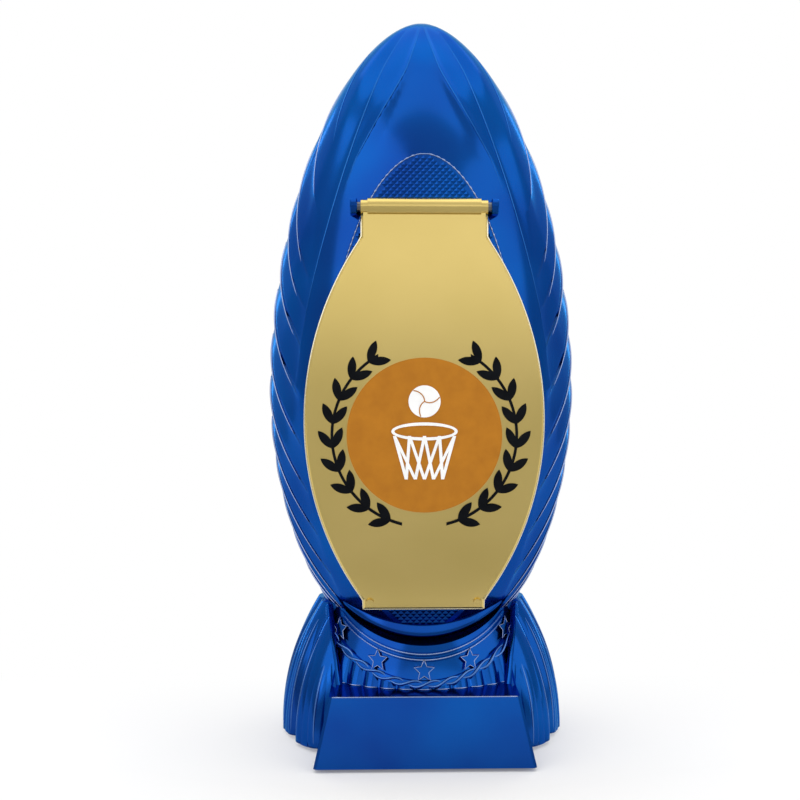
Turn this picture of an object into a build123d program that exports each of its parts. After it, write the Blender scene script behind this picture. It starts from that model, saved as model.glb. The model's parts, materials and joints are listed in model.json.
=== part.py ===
from build123d import *
from math import cos, sin, radians, asin, sqrt
import os

os.makedirs("parts", exist_ok=True)

# A netball award: a plated egg-shaped tower on a fluted base, with a gold plate
# hung on its front. Millimetres, +Z up, the front faces -Y, and the origin is on
# the egg's axis at the underside of the foot pad.

# Egg-shaped tower
EGG_RADIUS = 48.3
EGG_WIDEST_Z = 108.6
EGG_TOP_Z = 225.0
EGG_LOWER_REACH = 88.0
EGG_FLOOR_Z = 31.0
EGG_FLOOR_THICKNESS = 4.0
EGG_UPPER_POWER = 1.9
EGG_UPPER_ROUNDING = 0.58
SHELL_WALL = 3.0

# Bowed facet on the front, flat from side to side
BOW_Y = -39.2
BOW_Z = 127.0
BOW_RADIUS = 832.0
BOW_LOWER_Z = 95.0
BOW_LOWER_RADIUS = 183.0
BOW_TOP_MARGIN = 20.0

# Swept flutes on the sides
FLUTE_TOP_Z = 206.0
FLUTE_LOW_Z = 48.0
FLUTE_PITCH_LOW = 9.6
FLUTE_PITCH_GROWTH = 0.052
FLUTE_DEPTH = 1.0
FLUTE_START_ANGLE = 97.0
FLUTE_END_ANGLE = 46.0
FLUTE_TWIST_HIGH = 1.05
FLUTE_TWIST_LOW = 1.5
FLUTE_LIFT_OUT = 0.7

# Gold plate
PLATE_LOW_Z = 41.6
PLATE_TOP_Z = 161.5
PLATE_GAP = 1.2
PLATE_THICKNESS = 1.8
PLATE_HALF_WIDTH = 34.5
PLATE_WIDEST_Z = 97.8
PLATE_NECK_HALF = 18.25
PLATE_NECK_LENGTH = 11.5
PLATE_FOOT_HALF = 18.0
PLATE_FOOT_LENGTH = 3.0
PLATE_EDGE_BEVEL = 0.7
LIP_HEIGHT = 1.4
LIP_CLEARANCE = 0.3
NUB_RADIUS = 1.1
NUB_PROUD = 0.6

# Rolled bar, pin and lugs at the plate's top
BAR_RADIUS = 2.5
BAR_HALF_LENGTH = 16.3
BAR_CLEARANCE = 0.5
EAR_DROP = 0.5
PIN_RADIUS = 1.4
PIN_CLEARANCE = 0.05
PIN_SHOWN = 1.05
LUG_WIDTH = 2.0
LUG_HEIGHT = 4.4
LUG_WALL = 1.2

# Printed films on the plate
FILM_THICKNESS = 0.25
DISC_RADIUS = 22.3
DISC_Z = 93.3
WREATH_RADIUS = 26.5
WREATH_STEM_WIDTH = 0.8
WREATH_LEAVES = 9
WREATH_START_ANGLE = 14.0
WREATH_END_ANGLE = 150.0
LEAF_LENGTH = 6.6
LEAF_WIDTH = 2.5
LEAF_LEAN = 32.0
MOTIF_HOOP_HALF = 9.5
MOTIF_HOOP_RISE = 2.6
MOTIF_LINE = 0.9
MOTIF_NET_DEPTH = 12.5
MOTIF_NET_TAPER = 0.55
MOTIF_NET_STRANDS = 5
MOTIF_BALL_RADIUS = 4.6
MOTIF_BALL_RISE = 8.6
MOTIF_HOOP_Z = 94.5

# Base
FOOT_PAD_THICKNESS = 1.0
FOOT_PAD_INSET = 4.0
BELL_FOOT_RADIUS = 44.2
BELL_TOP_RADIUS = 33.0
BELL_TOP_Z = 40.5
PLEAT_COUNT = 18
PLEAT_RADIUS = 10.0
PLEAT_SWEEP_ANGLE = 50.0
PLEAT_FRONT_FLARE = 0.12
PANEL_INSET = 3.2
PANEL_TOP_HALF = 29.0
PANEL_FOOT_HALF = 22.5
PANEL_START_Y = -14.0
NECKLINE_CENTRE_Z = 31.4
NECKLINE_END_X = 26.0
NECKLINE_END_Z = 40.8
LEDGE_Z = 19.8
SOCKET_CLEARANCE = 0.2
DECK_THICKNESS = 7.0
CAVITY_RADIUS = 34.7
CAVITY_SHOULDER_Z = 17.8
CAVITY_TOP_RADIUS = 30.2

# Engraving block
BLOCK_TOP_HALF = 27.0
BLOCK_FOOT_HALF = 31.2
BLOCK_TOP_Y = -46.8
BLOCK_FOOT_Y = -51.5
BLOCK_BACK_Y = -30.0
BLOCK_BEVEL = 0.8

# Relief on the front of the base
RIM_CENTRE_Z = 28.5
RIM_END_X = 25.0
RIM_END_Z = 38.0
RIM_LINE = 0.7
RIM_SPACING = 1.5
RIM_PROUD = 0.7
ROPE_CENTRE_Z = 21.4
ROPE_END_X = 28.6
ROPE_END_Z = 33.8
ROPE_WIDTH = 1.7
ROPE_PROUD = 1.3
STAR_COUNT = 5
STAR_RADIUS = 3.1
STAR_WAIST = 0.45
STAR_PROUD = 1.2
STAR_STEP_ANGLE = 21.5
FRINGE_COUNT = 11
FRINGE_STEP_ANGLE = 8.0
FRINGE_RADIUS = 3.2
FRINGE_PROUD = 1.1
FRINGE_TOP_Z = 34.0

# Inside the base
BASE_PLATE_RADIUS = 36.5
BASE_PLATE_THICKNESS = 2.5
BASE_PLATE_CLEARANCE = 0.15
WEIGHT_RADIUS = 28.5
WEIGHT_HEIGHT = 14.0
BOLT_RADIUS = 3.0
BOLT_HOLE_CLEARANCE = 0.3
THREAD_CLEARANCE = 0.05
BOLT_HEAD_FLATS = 10.0
BOLT_HEAD_HEIGHT = 4.0
WASHER_RADIUS = 8.0
WASHER_THICKNESS = 1.6
NUT_HEIGHT = 5.0
NUT_CLEARANCE = 0.1
NUT_BOSS_RADIUS = 9.0
BOLT_END_SHOWN = 2.0
SCREW_COUNT = 4
SCREW_CIRCLE_RADIUS = 33.0
SCREW_RADIUS = 1.5
SCREW_HEAD_RADIUS = 2.8
SCREW_LENGTH = 9.0
SCREW_BOSS_RADIUS = 3.4
SCREW_PILOT_CLEARANCE = 0.05

# Dowels between the halves of the egg
DOWEL_HEIGHTS = (70.0, 150.0)
DOWEL_RADIUS = 1.5
DOWEL_DEPTH = 5.0
DOWEL_CLEARANCE = 0.05
DOWEL_BOSS_RADIUS = 3.4
DOWEL_BOSS_LENGTH = 8.0

# Places worked out from the sizes above
SHELL_FOOT_Z = FOOT_PAD_THICKNESS
CAVITY_FLOOR_Z = SHELL_FOOT_Z + BASE_PLATE_THICKNESS
DECK_UNDER_Z = EGG_FLOOR_Z - DECK_THICKNESS
WEIGHT_LOW_Z = DECK_UNDER_Z - WEIGHT_HEIGHT
WASHER_LOW_Z = WEIGHT_LOW_Z - WASHER_THICKNESS
BOLT_HEAD_LOW_Z = WASHER_LOW_Z - BOLT_HEAD_HEIGHT
NUT_LOW_Z = EGG_FLOOR_Z + EGG_FLOOR_THICKNESS
BOLT_TOP_Z = NUT_LOW_Z + NUT_HEIGHT + BOLT_END_SHOWN
PLATE_FRONT = PLATE_GAP + PLATE_THICKNESS
PIN_Z = PLATE_TOP_Z - BAR_RADIUS
LUG_INNER_X = PLATE_NECK_HALF + PIN_SHOWN
LUG_OUTER_X = LUG_INNER_X + LUG_WIDTH
FAR = 120.0


def egg_radius(z, inset=0.0):
    """Radius of the egg at a height, moved inwards by an inset."""
    widest = EGG_RADIUS - inset
    if z >= EGG_WIDEST_Z:
        share = min(1.0, (z - EGG_WIDEST_Z) / (EGG_TOP_Z - inset - EGG_WIDEST_Z))
        return widest * (1 - share**EGG_UPPER_POWER) ** EGG_UPPER_ROUNDING
    share = min(1.0, (EGG_WIDEST_Z - z) / (EGG_LOWER_REACH - inset))
    return widest * sqrt(1 - share**2)


def egg_solid(inset, floor_z, bow_inset, meridian_line=Spline):
    """The egg as a solid of revolution, with its bowed front facet cut away."""
    top_z = EGG_TOP_Z - inset
    steps_below = 4
    steps_above = 7
    heights = [floor_z + (EGG_WIDEST_Z - floor_z) * i / steps_below for i in range(steps_below)]
    heights += [
        EGG_WIDEST_Z + (top_z - EGG_WIDEST_Z) * sin(radians(90 * i / steps_above)) for i in range(steps_above)
    ]
    meridian = [(egg_radius(z, inset), z) for z in heights] + [(0, top_z)]
    with BuildPart() as egg:
        with BuildSketch(Plane.XZ):
            with BuildLine():
                meridian_line(*meridian)
                Polyline((0, top_z), (0, floor_z), meridian[0])
            make_face()
        revolve(axis=Axis.Z)
        with BuildSketch(Plane.YZ):
            with BuildLine():
                bow_outline(-bow_inset, EGG_FLOOR_Z - BOW_TOP_MARGIN, EGG_TOP_Z, -FAR)
            make_face()
        extrude(amount=FAR, both=True, mode=Mode.SUBTRACT)
    return egg.part


def bow_centres():
    """Centres of the two arcs of the facet's profile, and the angle at which they meet."""
    meet = asin((BOW_Z - BOW_LOWER_Z) / BOW_RADIUS)
    upper = (BOW_Y + BOW_RADIUS, BOW_Z)
    lower = (
        upper[0] - (BOW_RADIUS - BOW_LOWER_RADIUS) * cos(meet),
        upper[1] - (BOW_RADIUS - BOW_LOWER_RADIUS) * sin(meet),
    )
    return upper, lower, meet


def bow_point(angle, out):
    """Point of the facet's profile, moved out by a distance, at an angle below its crown."""
    upper, lower, meet = bow_centres()
    centre, radius = (lower, BOW_LOWER_RADIUS) if angle >= meet else (upper, BOW_RADIUS)
    return centre[0] - (radius + out) * cos(angle), centre[1] - (radius + out) * sin(angle)


def bow_angle(z, out):
    """Angle below the crown at which the moved profile reaches a height."""
    upper, lower, meet = bow_centres()
    if z < bow_point(meet, out)[1]:
        return asin((lower[1] - z) / (BOW_LOWER_RADIUS + out))
    return asin((upper[1] - z) / (BOW_RADIUS + out))


def bow_arcs(out, low_z, high_z):
    """The facet's profile from a low to a high height, moved out, as two tangent arcs."""
    low = bow_angle(low_z, out)
    high = bow_angle(high_z, out)
    meet = bow_centres()[2]
    stretches = [(low, meet), (meet, high)] if low > meet > high else [(low, high)]
    for first, last in stretches:
        ThreePointArc(bow_point(first, out), bow_point((first + last) / 2, out), bow_point(last, out))
    return bow_point(low, out), bow_point(high, out)


def bow_outline(out, low_z, high_z, back_y):
    """Closed outline between the moved profile and a straight line at a depth."""
    low, high = bow_arcs(out, low_z, high_z)
    Polyline(high, (back_y, high[1]), (back_y, low[1]), low)


def bow_layer(inner, outer, low_z, high_z):
    """A bowed sheet between two distances from the facet, wide enough for any piece of the plate."""
    with BuildPart() as layer:
        with BuildSketch(Plane.YZ):
            with BuildLine():
                inner_low, inner_high = bow_arcs(inner, low_z, high_z)
                outer_low, outer_high = bow_arcs(outer, low_z, high_z)
                Line(inner_low, outer_low)
                Line(inner_high, outer_high)
            make_face()
        extrude(amount=EGG_RADIUS, both=True)
    return layer.part


def egg_point(angle, z, lift):
    """Point over the egg, at an angle from the front towards +X, lifted along the outward normal."""
    probe = 0.01
    slope = (egg_radius(z + probe) - egg_radius(z - probe)) / (2 * probe)
    across = radians(angle)
    outward = Vector(sin(across), -cos(across), -slope).normalized()
    radius = egg_radius(z)
    return Vector(radius * sin(across), -radius * cos(across), z) + outward * lift


def flute_ridges():
    """Heights at which the ridges between the flutes leave the seam, from the top down."""
    ridges = [FLUTE_TOP_Z]
    while ridges[-1] > FLUTE_LOW_Z:
        ridges.append(ridges[-1] - FLUTE_PITCH_LOW - (ridges[-1] - FLUTE_LOW_Z) * FLUTE_PITCH_GROWTH)
    return ridges


def flute_cutter(high_ridge, low_ridge):
    """A toroidal cutter for one flute on the right of the front, fading out beside the plate."""
    seam_z = (high_ridge + low_ridge) / 2
    share = (seam_z - FLUTE_LOW_Z) / (FLUTE_TOP_Z - FLUTE_LOW_Z)
    twist = FLUTE_TWIST_LOW + (FLUTE_TWIST_HIGH - FLUTE_TWIST_LOW) * share
    middle_angle = (FLUTE_START_ANGLE + FLUTE_END_ANGLE) / 2
    steepness = asin(1 / sqrt(1 + (radians(twist) * egg_radius(seam_z)) ** 2))
    width = (high_ridge - low_ridge) * cos(steepness)
    radius = (width**2 / 4 + FLUTE_DEPTH**2) / (2 * FLUTE_DEPTH)

    def on_path(angle, lift):
        return egg_point(angle, seam_z - (90 - angle) / twist, radius + lift)

    with BuildPart() as cutter:
        with BuildLine() as path:
            ThreePointArc(
                on_path(FLUTE_START_ANGLE, -FLUTE_DEPTH),
                on_path(middle_angle, -FLUTE_DEPTH),
                on_path(FLUTE_END_ANGLE, FLUTE_LIFT_OUT),
            )
        with BuildSketch(Plane(origin=path.line @ 0, z_dir=path.line % 0)):
            Circle(radius)
        sweep()
    return cutter.part


def dowel_places():
    """Centres of the dowels on the seam, as (x, z)."""
    return [
        (side * (egg_radius(z, SHELL_WALL) - DOWEL_BOSS_RADIUS + DOWEL_RADIUS / 2), z)
        for z in DOWEL_HEIGHTS
        for side in (-1, 1)
    ]


# Solids that several pieces share
egg_outer = egg_solid(0.0, EGG_FLOOR_Z, 0.0)
egg_cavity = egg_solid(SHELL_WALL, NUT_LOW_Z, SHELL_WALL, Polyline)
egg_in_socket = egg_solid(-SOCKET_CLEARANCE, EGG_FLOOR_Z, -SOCKET_CLEARANCE)
ridges = flute_ridges()
flutes = [flute_cutter(high, low) for high, low in zip(ridges, ridges[1:])]
pin_y = bow_point(bow_angle(PIN_Z, 0.0), PLATE_GAP + PLATE_THICKNESS / 2)[0]
pin_plane = Plane(origin=(0, pin_y, PIN_Z), x_dir=(0, 1, 0), z_dir=(1, 0, 0))


def egg_half(keep):
    """One half of the hollow egg, with its flutes, nut seat and dowel bosses."""
    front = keep == Keep.TOP
    inwards = 1 if front else -1
    with BuildPart() as half:
        add(egg_outer)
        split(bisect_by=Plane.XZ, keep=keep)
        add(egg_cavity, mode=Mode.SUBTRACT)
        for flute in flutes:
            turned = flute if front else flute.mirror(Plane.XZ)
            add(turned, mode=Mode.SUBTRACT)
            add(turned.mirror(Plane.YZ), mode=Mode.SUBTRACT)
        with BuildSketch(Plane.XY.offset(NUT_LOW_Z)):
            Circle(NUT_BOSS_RADIUS)
            Rectangle(2 * NUT_BOSS_RADIUS, NUT_BOSS_RADIUS, align=(Align.CENTER, Align.MIN if front else Align.MAX),
                      mode=Mode.SUBTRACT)
        extrude(amount=NUT_HEIGHT)
        with BuildSketch(Plane.XY.offset(NUT_LOW_Z)):
            RegularPolygon(BOLT_HEAD_FLATS / 2 + NUT_CLEARANCE, 6, major_radius=False)
        extrude(amount=NUT_HEIGHT, mode=Mode.SUBTRACT)
        with BuildSketch(Plane.XY.offset(EGG_FLOOR_Z)):
            Circle(BOLT_RADIUS + BOLT_HOLE_CLEARANCE)
        extrude(amount=EGG_FLOOR_THICKNESS, mode=Mode.SUBTRACT)
        with BuildSketch(Plane.XZ):
            with Locations(*dowel_places()):
                Circle(DOWEL_BOSS_RADIUS)
        extrude(amount=inwards * DOWEL_BOSS_LENGTH)
        with BuildSketch(Plane.XZ):
            with Locations(*dowel_places()):
                Circle(DOWEL_RADIUS + DOWEL_CLEARANCE)
        extrude(amount=inwards * DOWEL_DEPTH, mode=Mode.SUBTRACT)
    return half.part


# Front half of the egg, with the lugs that carry the plate's pin
front_half = egg_half(Keep.TOP)
with BuildPart() as front_shell:
    add(front_half)
    lug_front_y = pin_y - PIN_RADIUS - LUG_WALL
    with BuildSketch(Plane.XZ.offset(-lug_front_y)):
        for side in (-1, 1):
            with Locations((side * (LUG_INNER_X + LUG_OUTER_X) / 2, PIN_Z)):
                Rectangle(LUG_WIDTH, LUG_HEIGHT)
    extrude(until=Until.NEXT, dir=(0, 1, 0))
    with BuildSketch(pin_plane):
        Circle(BAR_RADIUS + BAR_CLEARANCE)
    extrude(amount=PLATE_NECK_HALF + PIN_SHOWN, both=True, mode=Mode.SUBTRACT)
    with BuildSketch(pin_plane):
        Circle(PIN_RADIUS + PIN_CLEARANCE)
    extrude(amount=LUG_OUTER_X, both=True, mode=Mode.SUBTRACT)
front_shell.part.label = "front_shell"
export_step(front_shell.part, "parts/front_shell.step")

# Rear half of the egg
rear_half = egg_half(Keep.BOTTOM)
with BuildPart() as rear_shell:
    add(rear_half)
rear_shell.part.label = "rear_shell"
export_step(rear_shell.part, "parts/rear_shell.step")

# Dowels that line the two halves up
with BuildPart() as shell_dowels:
    with BuildSketch(Plane.XZ):
        with Locations(*dowel_places()):
            Circle(DOWEL_RADIUS)
    extrude(amount=DOWEL_DEPTH, both=True)
shell_dowels.part.label = "shell_dowels"
export_step(shell_dowels.part, "parts/shell_dowels.step")


def bell_arc(foot_radius):
    """Radius of a bell profile, upright at its foot, and the distance of its centre from the axis."""
    drop = foot_radius - BELL_TOP_RADIUS
    rise = BELL_TOP_Z - SHELL_FOOT_Z
    radius = (drop**2 + rise**2) / (2 * drop)
    return radius, foot_radius - radius


def panel_radius(z, proud=0.0):
    """Radius of the smooth front panel at a height, standing proud by a distance."""
    radius, centre = bell_arc(BELL_FOOT_RADIUS)
    return centre + sqrt((radius - PANEL_INSET + proud) ** 2 - (z - SHELL_FOOT_Z) ** 2)


def panel_solid(proud):
    """Smooth bell under the pleats, standing proud by a distance."""
    middle_z = (SHELL_FOOT_Z + BELL_TOP_Z) / 2
    foot, middle, top = ((panel_radius(z, proud), z) for z in (SHELL_FOOT_Z, middle_z, BELL_TOP_Z))
    with BuildPart() as panel:
        with BuildSketch(Plane.XZ):
            with BuildLine():
                ThreePointArc(foot, middle, top)
                Polyline(top, (0, BELL_TOP_Z), (0, SHELL_FOOT_Z), foot)
            make_face()
        revolve(axis=Axis.Z)
    return panel.part


def around(radius, angle):
    """Point of a horizontal circle, at an angle from the front towards +X."""
    return radius * sin(radians(angle)), -radius * cos(radians(angle))


def pleat_solid(angle):
    """One toroidal pleat of the bell, cut to its wedge, at an angle from the front towards +X."""
    half_step = 180 / PLEAT_COUNT
    foot_radius = BELL_FOOT_RADIUS * (1 + PLEAT_FRONT_FLARE * max(0.0, cos(radians(angle))) ** 2)
    radius, centre = bell_arc(foot_radius)
    upright = Plane(origin=(0, 0, 0), x_dir=(*around(1, angle), 0), z_dir=(*around(1, angle - 90), 0))
    with BuildPart() as pleat:
        with BuildLine(upright) as path:
            CenterArc((centre, SHELL_FOOT_Z), radius - PLEAT_RADIUS, 0, PLEAT_SWEEP_ANGLE)
        with BuildSketch(Plane(origin=path.line @ 0, z_dir=path.line % 0)):
            Circle(PLEAT_RADIUS)
        sweep()
        with BuildSketch(Plane.XY.offset(SHELL_FOOT_Z)):
            with BuildLine():
                Polyline((0, 0), around(FAR, angle - half_step), around(FAR, angle + half_step), close=True)
            make_face()
        extrude(amount=BELL_TOP_Z - SHELL_FOOT_Z, mode=Mode.INTERSECT)
    return pleat.part


def pleated_skirt():
    """Pleats round the sides and back, open in front where the smooth panel shows."""
    step = 360 / PLEAT_COUNT
    with BuildPart() as skirt:
        for i in range(PLEAT_COUNT):
            add(pleat_solid((i + 0.5) * step))
        with BuildSketch(Plane.XZ.offset(-PANEL_START_Y)):
            with BuildLine():
                Polyline(
                    (-PANEL_FOOT_HALF, SHELL_FOOT_Z),
                    (PANEL_FOOT_HALF, SHELL_FOOT_Z),
                    (PANEL_TOP_HALF, BELL_TOP_Z),
                    (-PANEL_TOP_HALF, BELL_TOP_Z),
                    close=True,
                )
            make_face()
        extrude(amount=FAR, mode=Mode.SUBTRACT)
    return skirt.part


def sag_radius(centre_z, end_x, end_z):
    """Radius of the hanging arc through its lowest point and its two ends."""
    rise = end_z - centre_z
    return (end_x**2 + rise**2) / (2 * rise)


def hanging_band(centre_z, end_x, end_z, width):
    """Face of a hanging band of even width in the front view."""
    radius = sag_radius(centre_z, end_x, end_z)
    with BuildSketch(Plane.XZ, mode=Mode.PRIVATE) as band:
        with Locations((0, centre_z + radius)):
            Circle(radius + width / 2)
            Circle(radius - width / 2, mode=Mode.SUBTRACT)
        with Locations((0, centre_z - width)):
            Rectangle(2 * end_x, end_z - centre_z + width, align=(Align.CENTER, Align.MIN), mode=Mode.INTERSECT)
    return band.sketch_local


def sag_height(x, centre_z, end_x, end_z):
    """Height of a hanging arc at a distance from the middle."""
    radius = sag_radius(centre_z, end_x, end_z)
    return centre_z + radius - sqrt(radius**2 - x**2)


def star_faces():
    """Five-pointed stars along the middle of the swag, in the front view."""
    with BuildSketch(Plane.XZ, mode=Mode.PRIVATE) as stars:
        for i in range(STAR_COUNT):
            angle = (i - (STAR_COUNT - 1) / 2) * STAR_STEP_ANGLE
            x = around(panel_radius((RIM_CENTRE_Z + ROPE_CENTRE_Z) / 2), angle)[0]
            rim_z = sag_height(x, RIM_CENTRE_Z, RIM_END_X, RIM_END_Z)
            rope_z = sag_height(x, ROPE_CENTRE_Z, ROPE_END_X, ROPE_END_Z)
            corners = []
            for corner in range(10):
                reach = STAR_RADIUS if corner % 2 == 0 else STAR_RADIUS * STAR_WAIST
                turn = radians(36 * corner)
                corners.append(
                    (x + reach * sin(turn) * cos(radians(angle)), (rim_z + rope_z) / 2 + reach * cos(turn))
                )
            with BuildLine():
                Polyline(*corners, close=True)
            make_face()
    return stars.sketch_local


def fringe_solid():
    """Rounded fringe strands that hang from the rope to the ledge."""
    sink = FRINGE_RADIUS - FRINGE_PROUD
    sag = sag_radius(ROPE_CENTRE_Z, ROPE_END_X, ROPE_END_Z)
    with BuildPart() as fringe:
        for i in range(FRINGE_COUNT):
            angle = (i - (FRINGE_COUNT - 1) / 2) * FRINGE_STEP_ANGLE
            foot = Vector(*around(panel_radius(LEDGE_Z), angle), LEDGE_Z)
            top = Vector(*around(panel_radius(FRINGE_TOP_Z), angle), FRINGE_TOP_Z)
            along = (top - foot).normalized()
            sideways = Vector(cos(radians(angle)), sin(radians(angle)), 0)
            outward = sideways.cross(along) * -1
            if outward.Z < 0:
                outward = outward * -1
            with BuildSketch(Plane(origin=foot - outward * sink - along * FRINGE_RADIUS, z_dir=along)):
                Circle(FRINGE_RADIUS)
            extrude(amount=(top - foot).length)
        with BuildSketch(Plane.XZ):
            with Locations((0, LEDGE_Z - FRINGE_RADIUS)):
                Rectangle(2 * ROPE_END_X, FRINGE_TOP_Z, align=(Align.CENTER, Align.MIN))
            with Locations((0, ROPE_CENTRE_Z + sag)):
                Circle(sag, mode=Mode.SUBTRACT)
        extrude(amount=FAR, mode=Mode.INTERSECT)
    return fringe.part


def relief(sketch_faces, proud):
    """Raised relief: the shapes of the front view, carried on to the panel and standing proud of it."""
    with BuildPart() as raised:
        with BuildSketch(Plane.XZ):
            add(sketch_faces)
        extrude(amount=FAR)
        add(panel_solid(proud), mode=Mode.INTERSECT)
    return raised.part


def block_solid():
    """Engraving block in front of the base: a raked plain face, wider at the foot."""
    with BuildPart() as block:
        with BuildSketch(Plane.YZ):
            with BuildLine():
                Polyline(
                    (BLOCK_BACK_Y, SHELL_FOOT_Z),
                    (BLOCK_FOOT_Y, SHELL_FOOT_Z),
                    (BLOCK_TOP_Y, LEDGE_Z),
                    (BLOCK_BACK_Y, LEDGE_Z),
                    close=True,
                )
            make_face()
        extrude(amount=BLOCK_FOOT_HALF, both=True)
        with BuildSketch(Plane.XZ):
            with BuildLine():
                Polyline(
                    (-BLOCK_FOOT_HALF, SHELL_FOOT_Z),
                    (BLOCK_FOOT_HALF, SHELL_FOOT_Z),
                    (BLOCK_TOP_HALF, LEDGE_Z),
                    (-BLOCK_TOP_HALF, LEDGE_Z),
                    close=True,
                )
            make_face()
        extrude(amount=FAR, mode=Mode.INTERSECT)
        chamfer(block.faces().sort_by(Axis.Y)[0].edges().filter_by(Plane.XY, reverse=True), BLOCK_BEVEL)
    return block.part


# Base with its pleated skirt, front panel with relief, and engraving block
skirt = pleated_skirt()
panel = panel_solid(0.0)
block = block_solid()
fringe = fringe_solid()
rim_bands = [
    hanging_band(RIM_CENTRE_Z + side * RIM_SPACING / 2, RIM_END_X, RIM_END_Z + side * RIM_SPACING / 2, RIM_LINE)
    for side in (-1, 1)
]
raised_pieces = [relief(band, RIM_PROUD) for band in rim_bands]
raised_pieces.append(relief(hanging_band(ROPE_CENTRE_Z, ROPE_END_X, ROPE_END_Z, ROPE_WIDTH), ROPE_PROUD))
raised_pieces.append(relief(star_faces(), STAR_PROUD))
screw_places = PolarLocations(SCREW_CIRCLE_RADIUS, SCREW_COUNT, start_angle=180 / SCREW_COUNT)
neckline_radius = sag_radius(NECKLINE_CENTRE_Z, NECKLINE_END_X, NECKLINE_END_Z)
with BuildPart() as base_shell:
    add(skirt)
    add(panel)
    with BuildSketch(Plane.XZ.offset(-PANEL_START_Y)):
        with Locations((0, NECKLINE_CENTRE_Z + neckline_radius)):
            Circle(neckline_radius)
    extrude(amount=FAR, mode=Mode.SUBTRACT)
    add(block)
    add(fringe)
    add(raised_pieces)
    add(egg_in_socket, mode=Mode.SUBTRACT)
    with BuildSketch(Plane.XZ):
        with BuildLine():
            Polyline(
                (0, CAVITY_FLOOR_Z),
                (CAVITY_RADIUS, CAVITY_FLOOR_Z),
                (CAVITY_RADIUS, CAVITY_SHOULDER_Z),
                (CAVITY_TOP_RADIUS, DECK_UNDER_Z),
                (0, DECK_UNDER_Z),
                close=True,
            )
        make_face()
    revolve(axis=Axis.Z, mode=Mode.SUBTRACT)
    with BuildSketch(Plane.XY.offset(SHELL_FOOT_Z)):
        Circle(BASE_PLATE_RADIUS + BASE_PLATE_CLEARANCE)
    extrude(amount=BASE_PLATE_THICKNESS, mode=Mode.SUBTRACT)
    with BuildSketch(Plane.XY.offset(CAVITY_FLOOR_Z)):
        with screw_places:
            Circle(SCREW_BOSS_RADIUS)
    extrude(amount=DECK_UNDER_Z - CAVITY_FLOOR_Z)
    with BuildSketch(Plane.XY.offset(CAVITY_FLOOR_Z)):
        with screw_places:
            Circle(SCREW_RADIUS + SCREW_PILOT_CLEARANCE)
    extrude(amount=SCREW_LENGTH, mode=Mode.SUBTRACT)
    with BuildSketch(Plane.XY.offset(DECK_UNDER_Z)):
        Circle(BOLT_RADIUS + BOLT_HOLE_CLEARANCE)
    extrude(amount=DECK_THICKNESS, mode=Mode.SUBTRACT)
base_shell.part.label = "base_shell"
export_step(base_shell.part, "parts/base_shell.step")


def screw_solid(clearance):
    """A countersunk screw on the Z axis, head down, made larger all round by a clearance."""
    radius = SCREW_RADIUS + clearance
    head_radius = SCREW_HEAD_RADIUS + clearance
    with BuildPart() as screw:
        with BuildSketch(Plane.XZ):
            with BuildLine():
                Polyline(
                    (0, SHELL_FOOT_Z),
                    (head_radius, SHELL_FOOT_Z),
                    (radius, SHELL_FOOT_Z + head_radius - radius),
                    (radius, SHELL_FOOT_Z + SCREW_LENGTH),
                    (0, SHELL_FOOT_Z + SCREW_LENGTH),
                    close=True,
                )
            make_face()
        revolve(axis=Axis.Z)
    return screw.part


screw = screw_solid(0.0)
screw_seat = screw_solid(SCREW_PILOT_CLEARANCE)

# Plate that closes the base, with countersinks for its screws
with BuildPart() as base_plate:
    with BuildSketch(Plane.XY.offset(SHELL_FOOT_Z)):
        Circle(BASE_PLATE_RADIUS)
    extrude(amount=BASE_PLATE_THICKNESS)
    with screw_places:
        add(screw_seat, mode=Mode.SUBTRACT)
base_plate.part.label = "base_plate"
export_step(base_plate.part, "parts/base_plate.step")

# Countersunk screws
with BuildPart() as base_screws:
    with screw_places:
        add(screw)
base_screws.part.label = "base_screws"
export_step(base_screws.part, "parts/base_screws.step")

# Felt under the base
with BuildPart() as foot_pad:
    with BuildSketch(Plane.XY):
        Circle(BELL_FOOT_RADIUS - FOOT_PAD_INSET)
        with Locations((0, BLOCK_FOOT_Y + FOOT_PAD_INSET)):
            Rectangle(
                2 * (BLOCK_FOOT_HALF - FOOT_PAD_INSET),
                -BLOCK_FOOT_Y - FOOT_PAD_INSET,
                align=(Align.CENTER, Align.MIN),
            )
    extrude(amount=FOOT_PAD_THICKNESS)
foot_pad.part.label = "foot_pad"
export_step(foot_pad.part, "parts/foot_pad.step")

# Ballast, held against the deck by the tie bolt
with BuildPart() as weight_block:
    with BuildSketch(Plane.XY.offset(WEIGHT_LOW_Z)):
        Circle(WEIGHT_RADIUS)
        Circle(BOLT_RADIUS + BOLT_HOLE_CLEARANCE, mode=Mode.SUBTRACT)
    extrude(amount=WEIGHT_HEIGHT)
weight_block.part.label = "weight_block"
export_step(weight_block.part, "parts/weight_block.step")

# Tie bolt, washer and nut
with BuildPart() as tie_bolt:
    with BuildSketch(Plane.XY.offset(BOLT_HEAD_LOW_Z)):
        RegularPolygon(BOLT_HEAD_FLATS / 2, 6, major_radius=False)
    extrude(amount=BOLT_HEAD_HEIGHT)
    with BuildSketch(Plane.XY.offset(WASHER_LOW_Z)):
        Circle(BOLT_RADIUS)
    extrude(amount=BOLT_TOP_Z - WASHER_LOW_Z)
tie_bolt.part.label = "tie_bolt"
export_step(tie_bolt.part, "parts/tie_bolt.step")

with BuildPart() as tie_washer:
    with BuildSketch(Plane.XY.offset(WASHER_LOW_Z)):
        Circle(WASHER_RADIUS)
        Circle(BOLT_RADIUS + BOLT_HOLE_CLEARANCE, mode=Mode.SUBTRACT)
    extrude(amount=WASHER_THICKNESS)
tie_washer.part.label = "tie_washer"
export_step(tie_washer.part, "parts/tie_washer.step")

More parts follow.
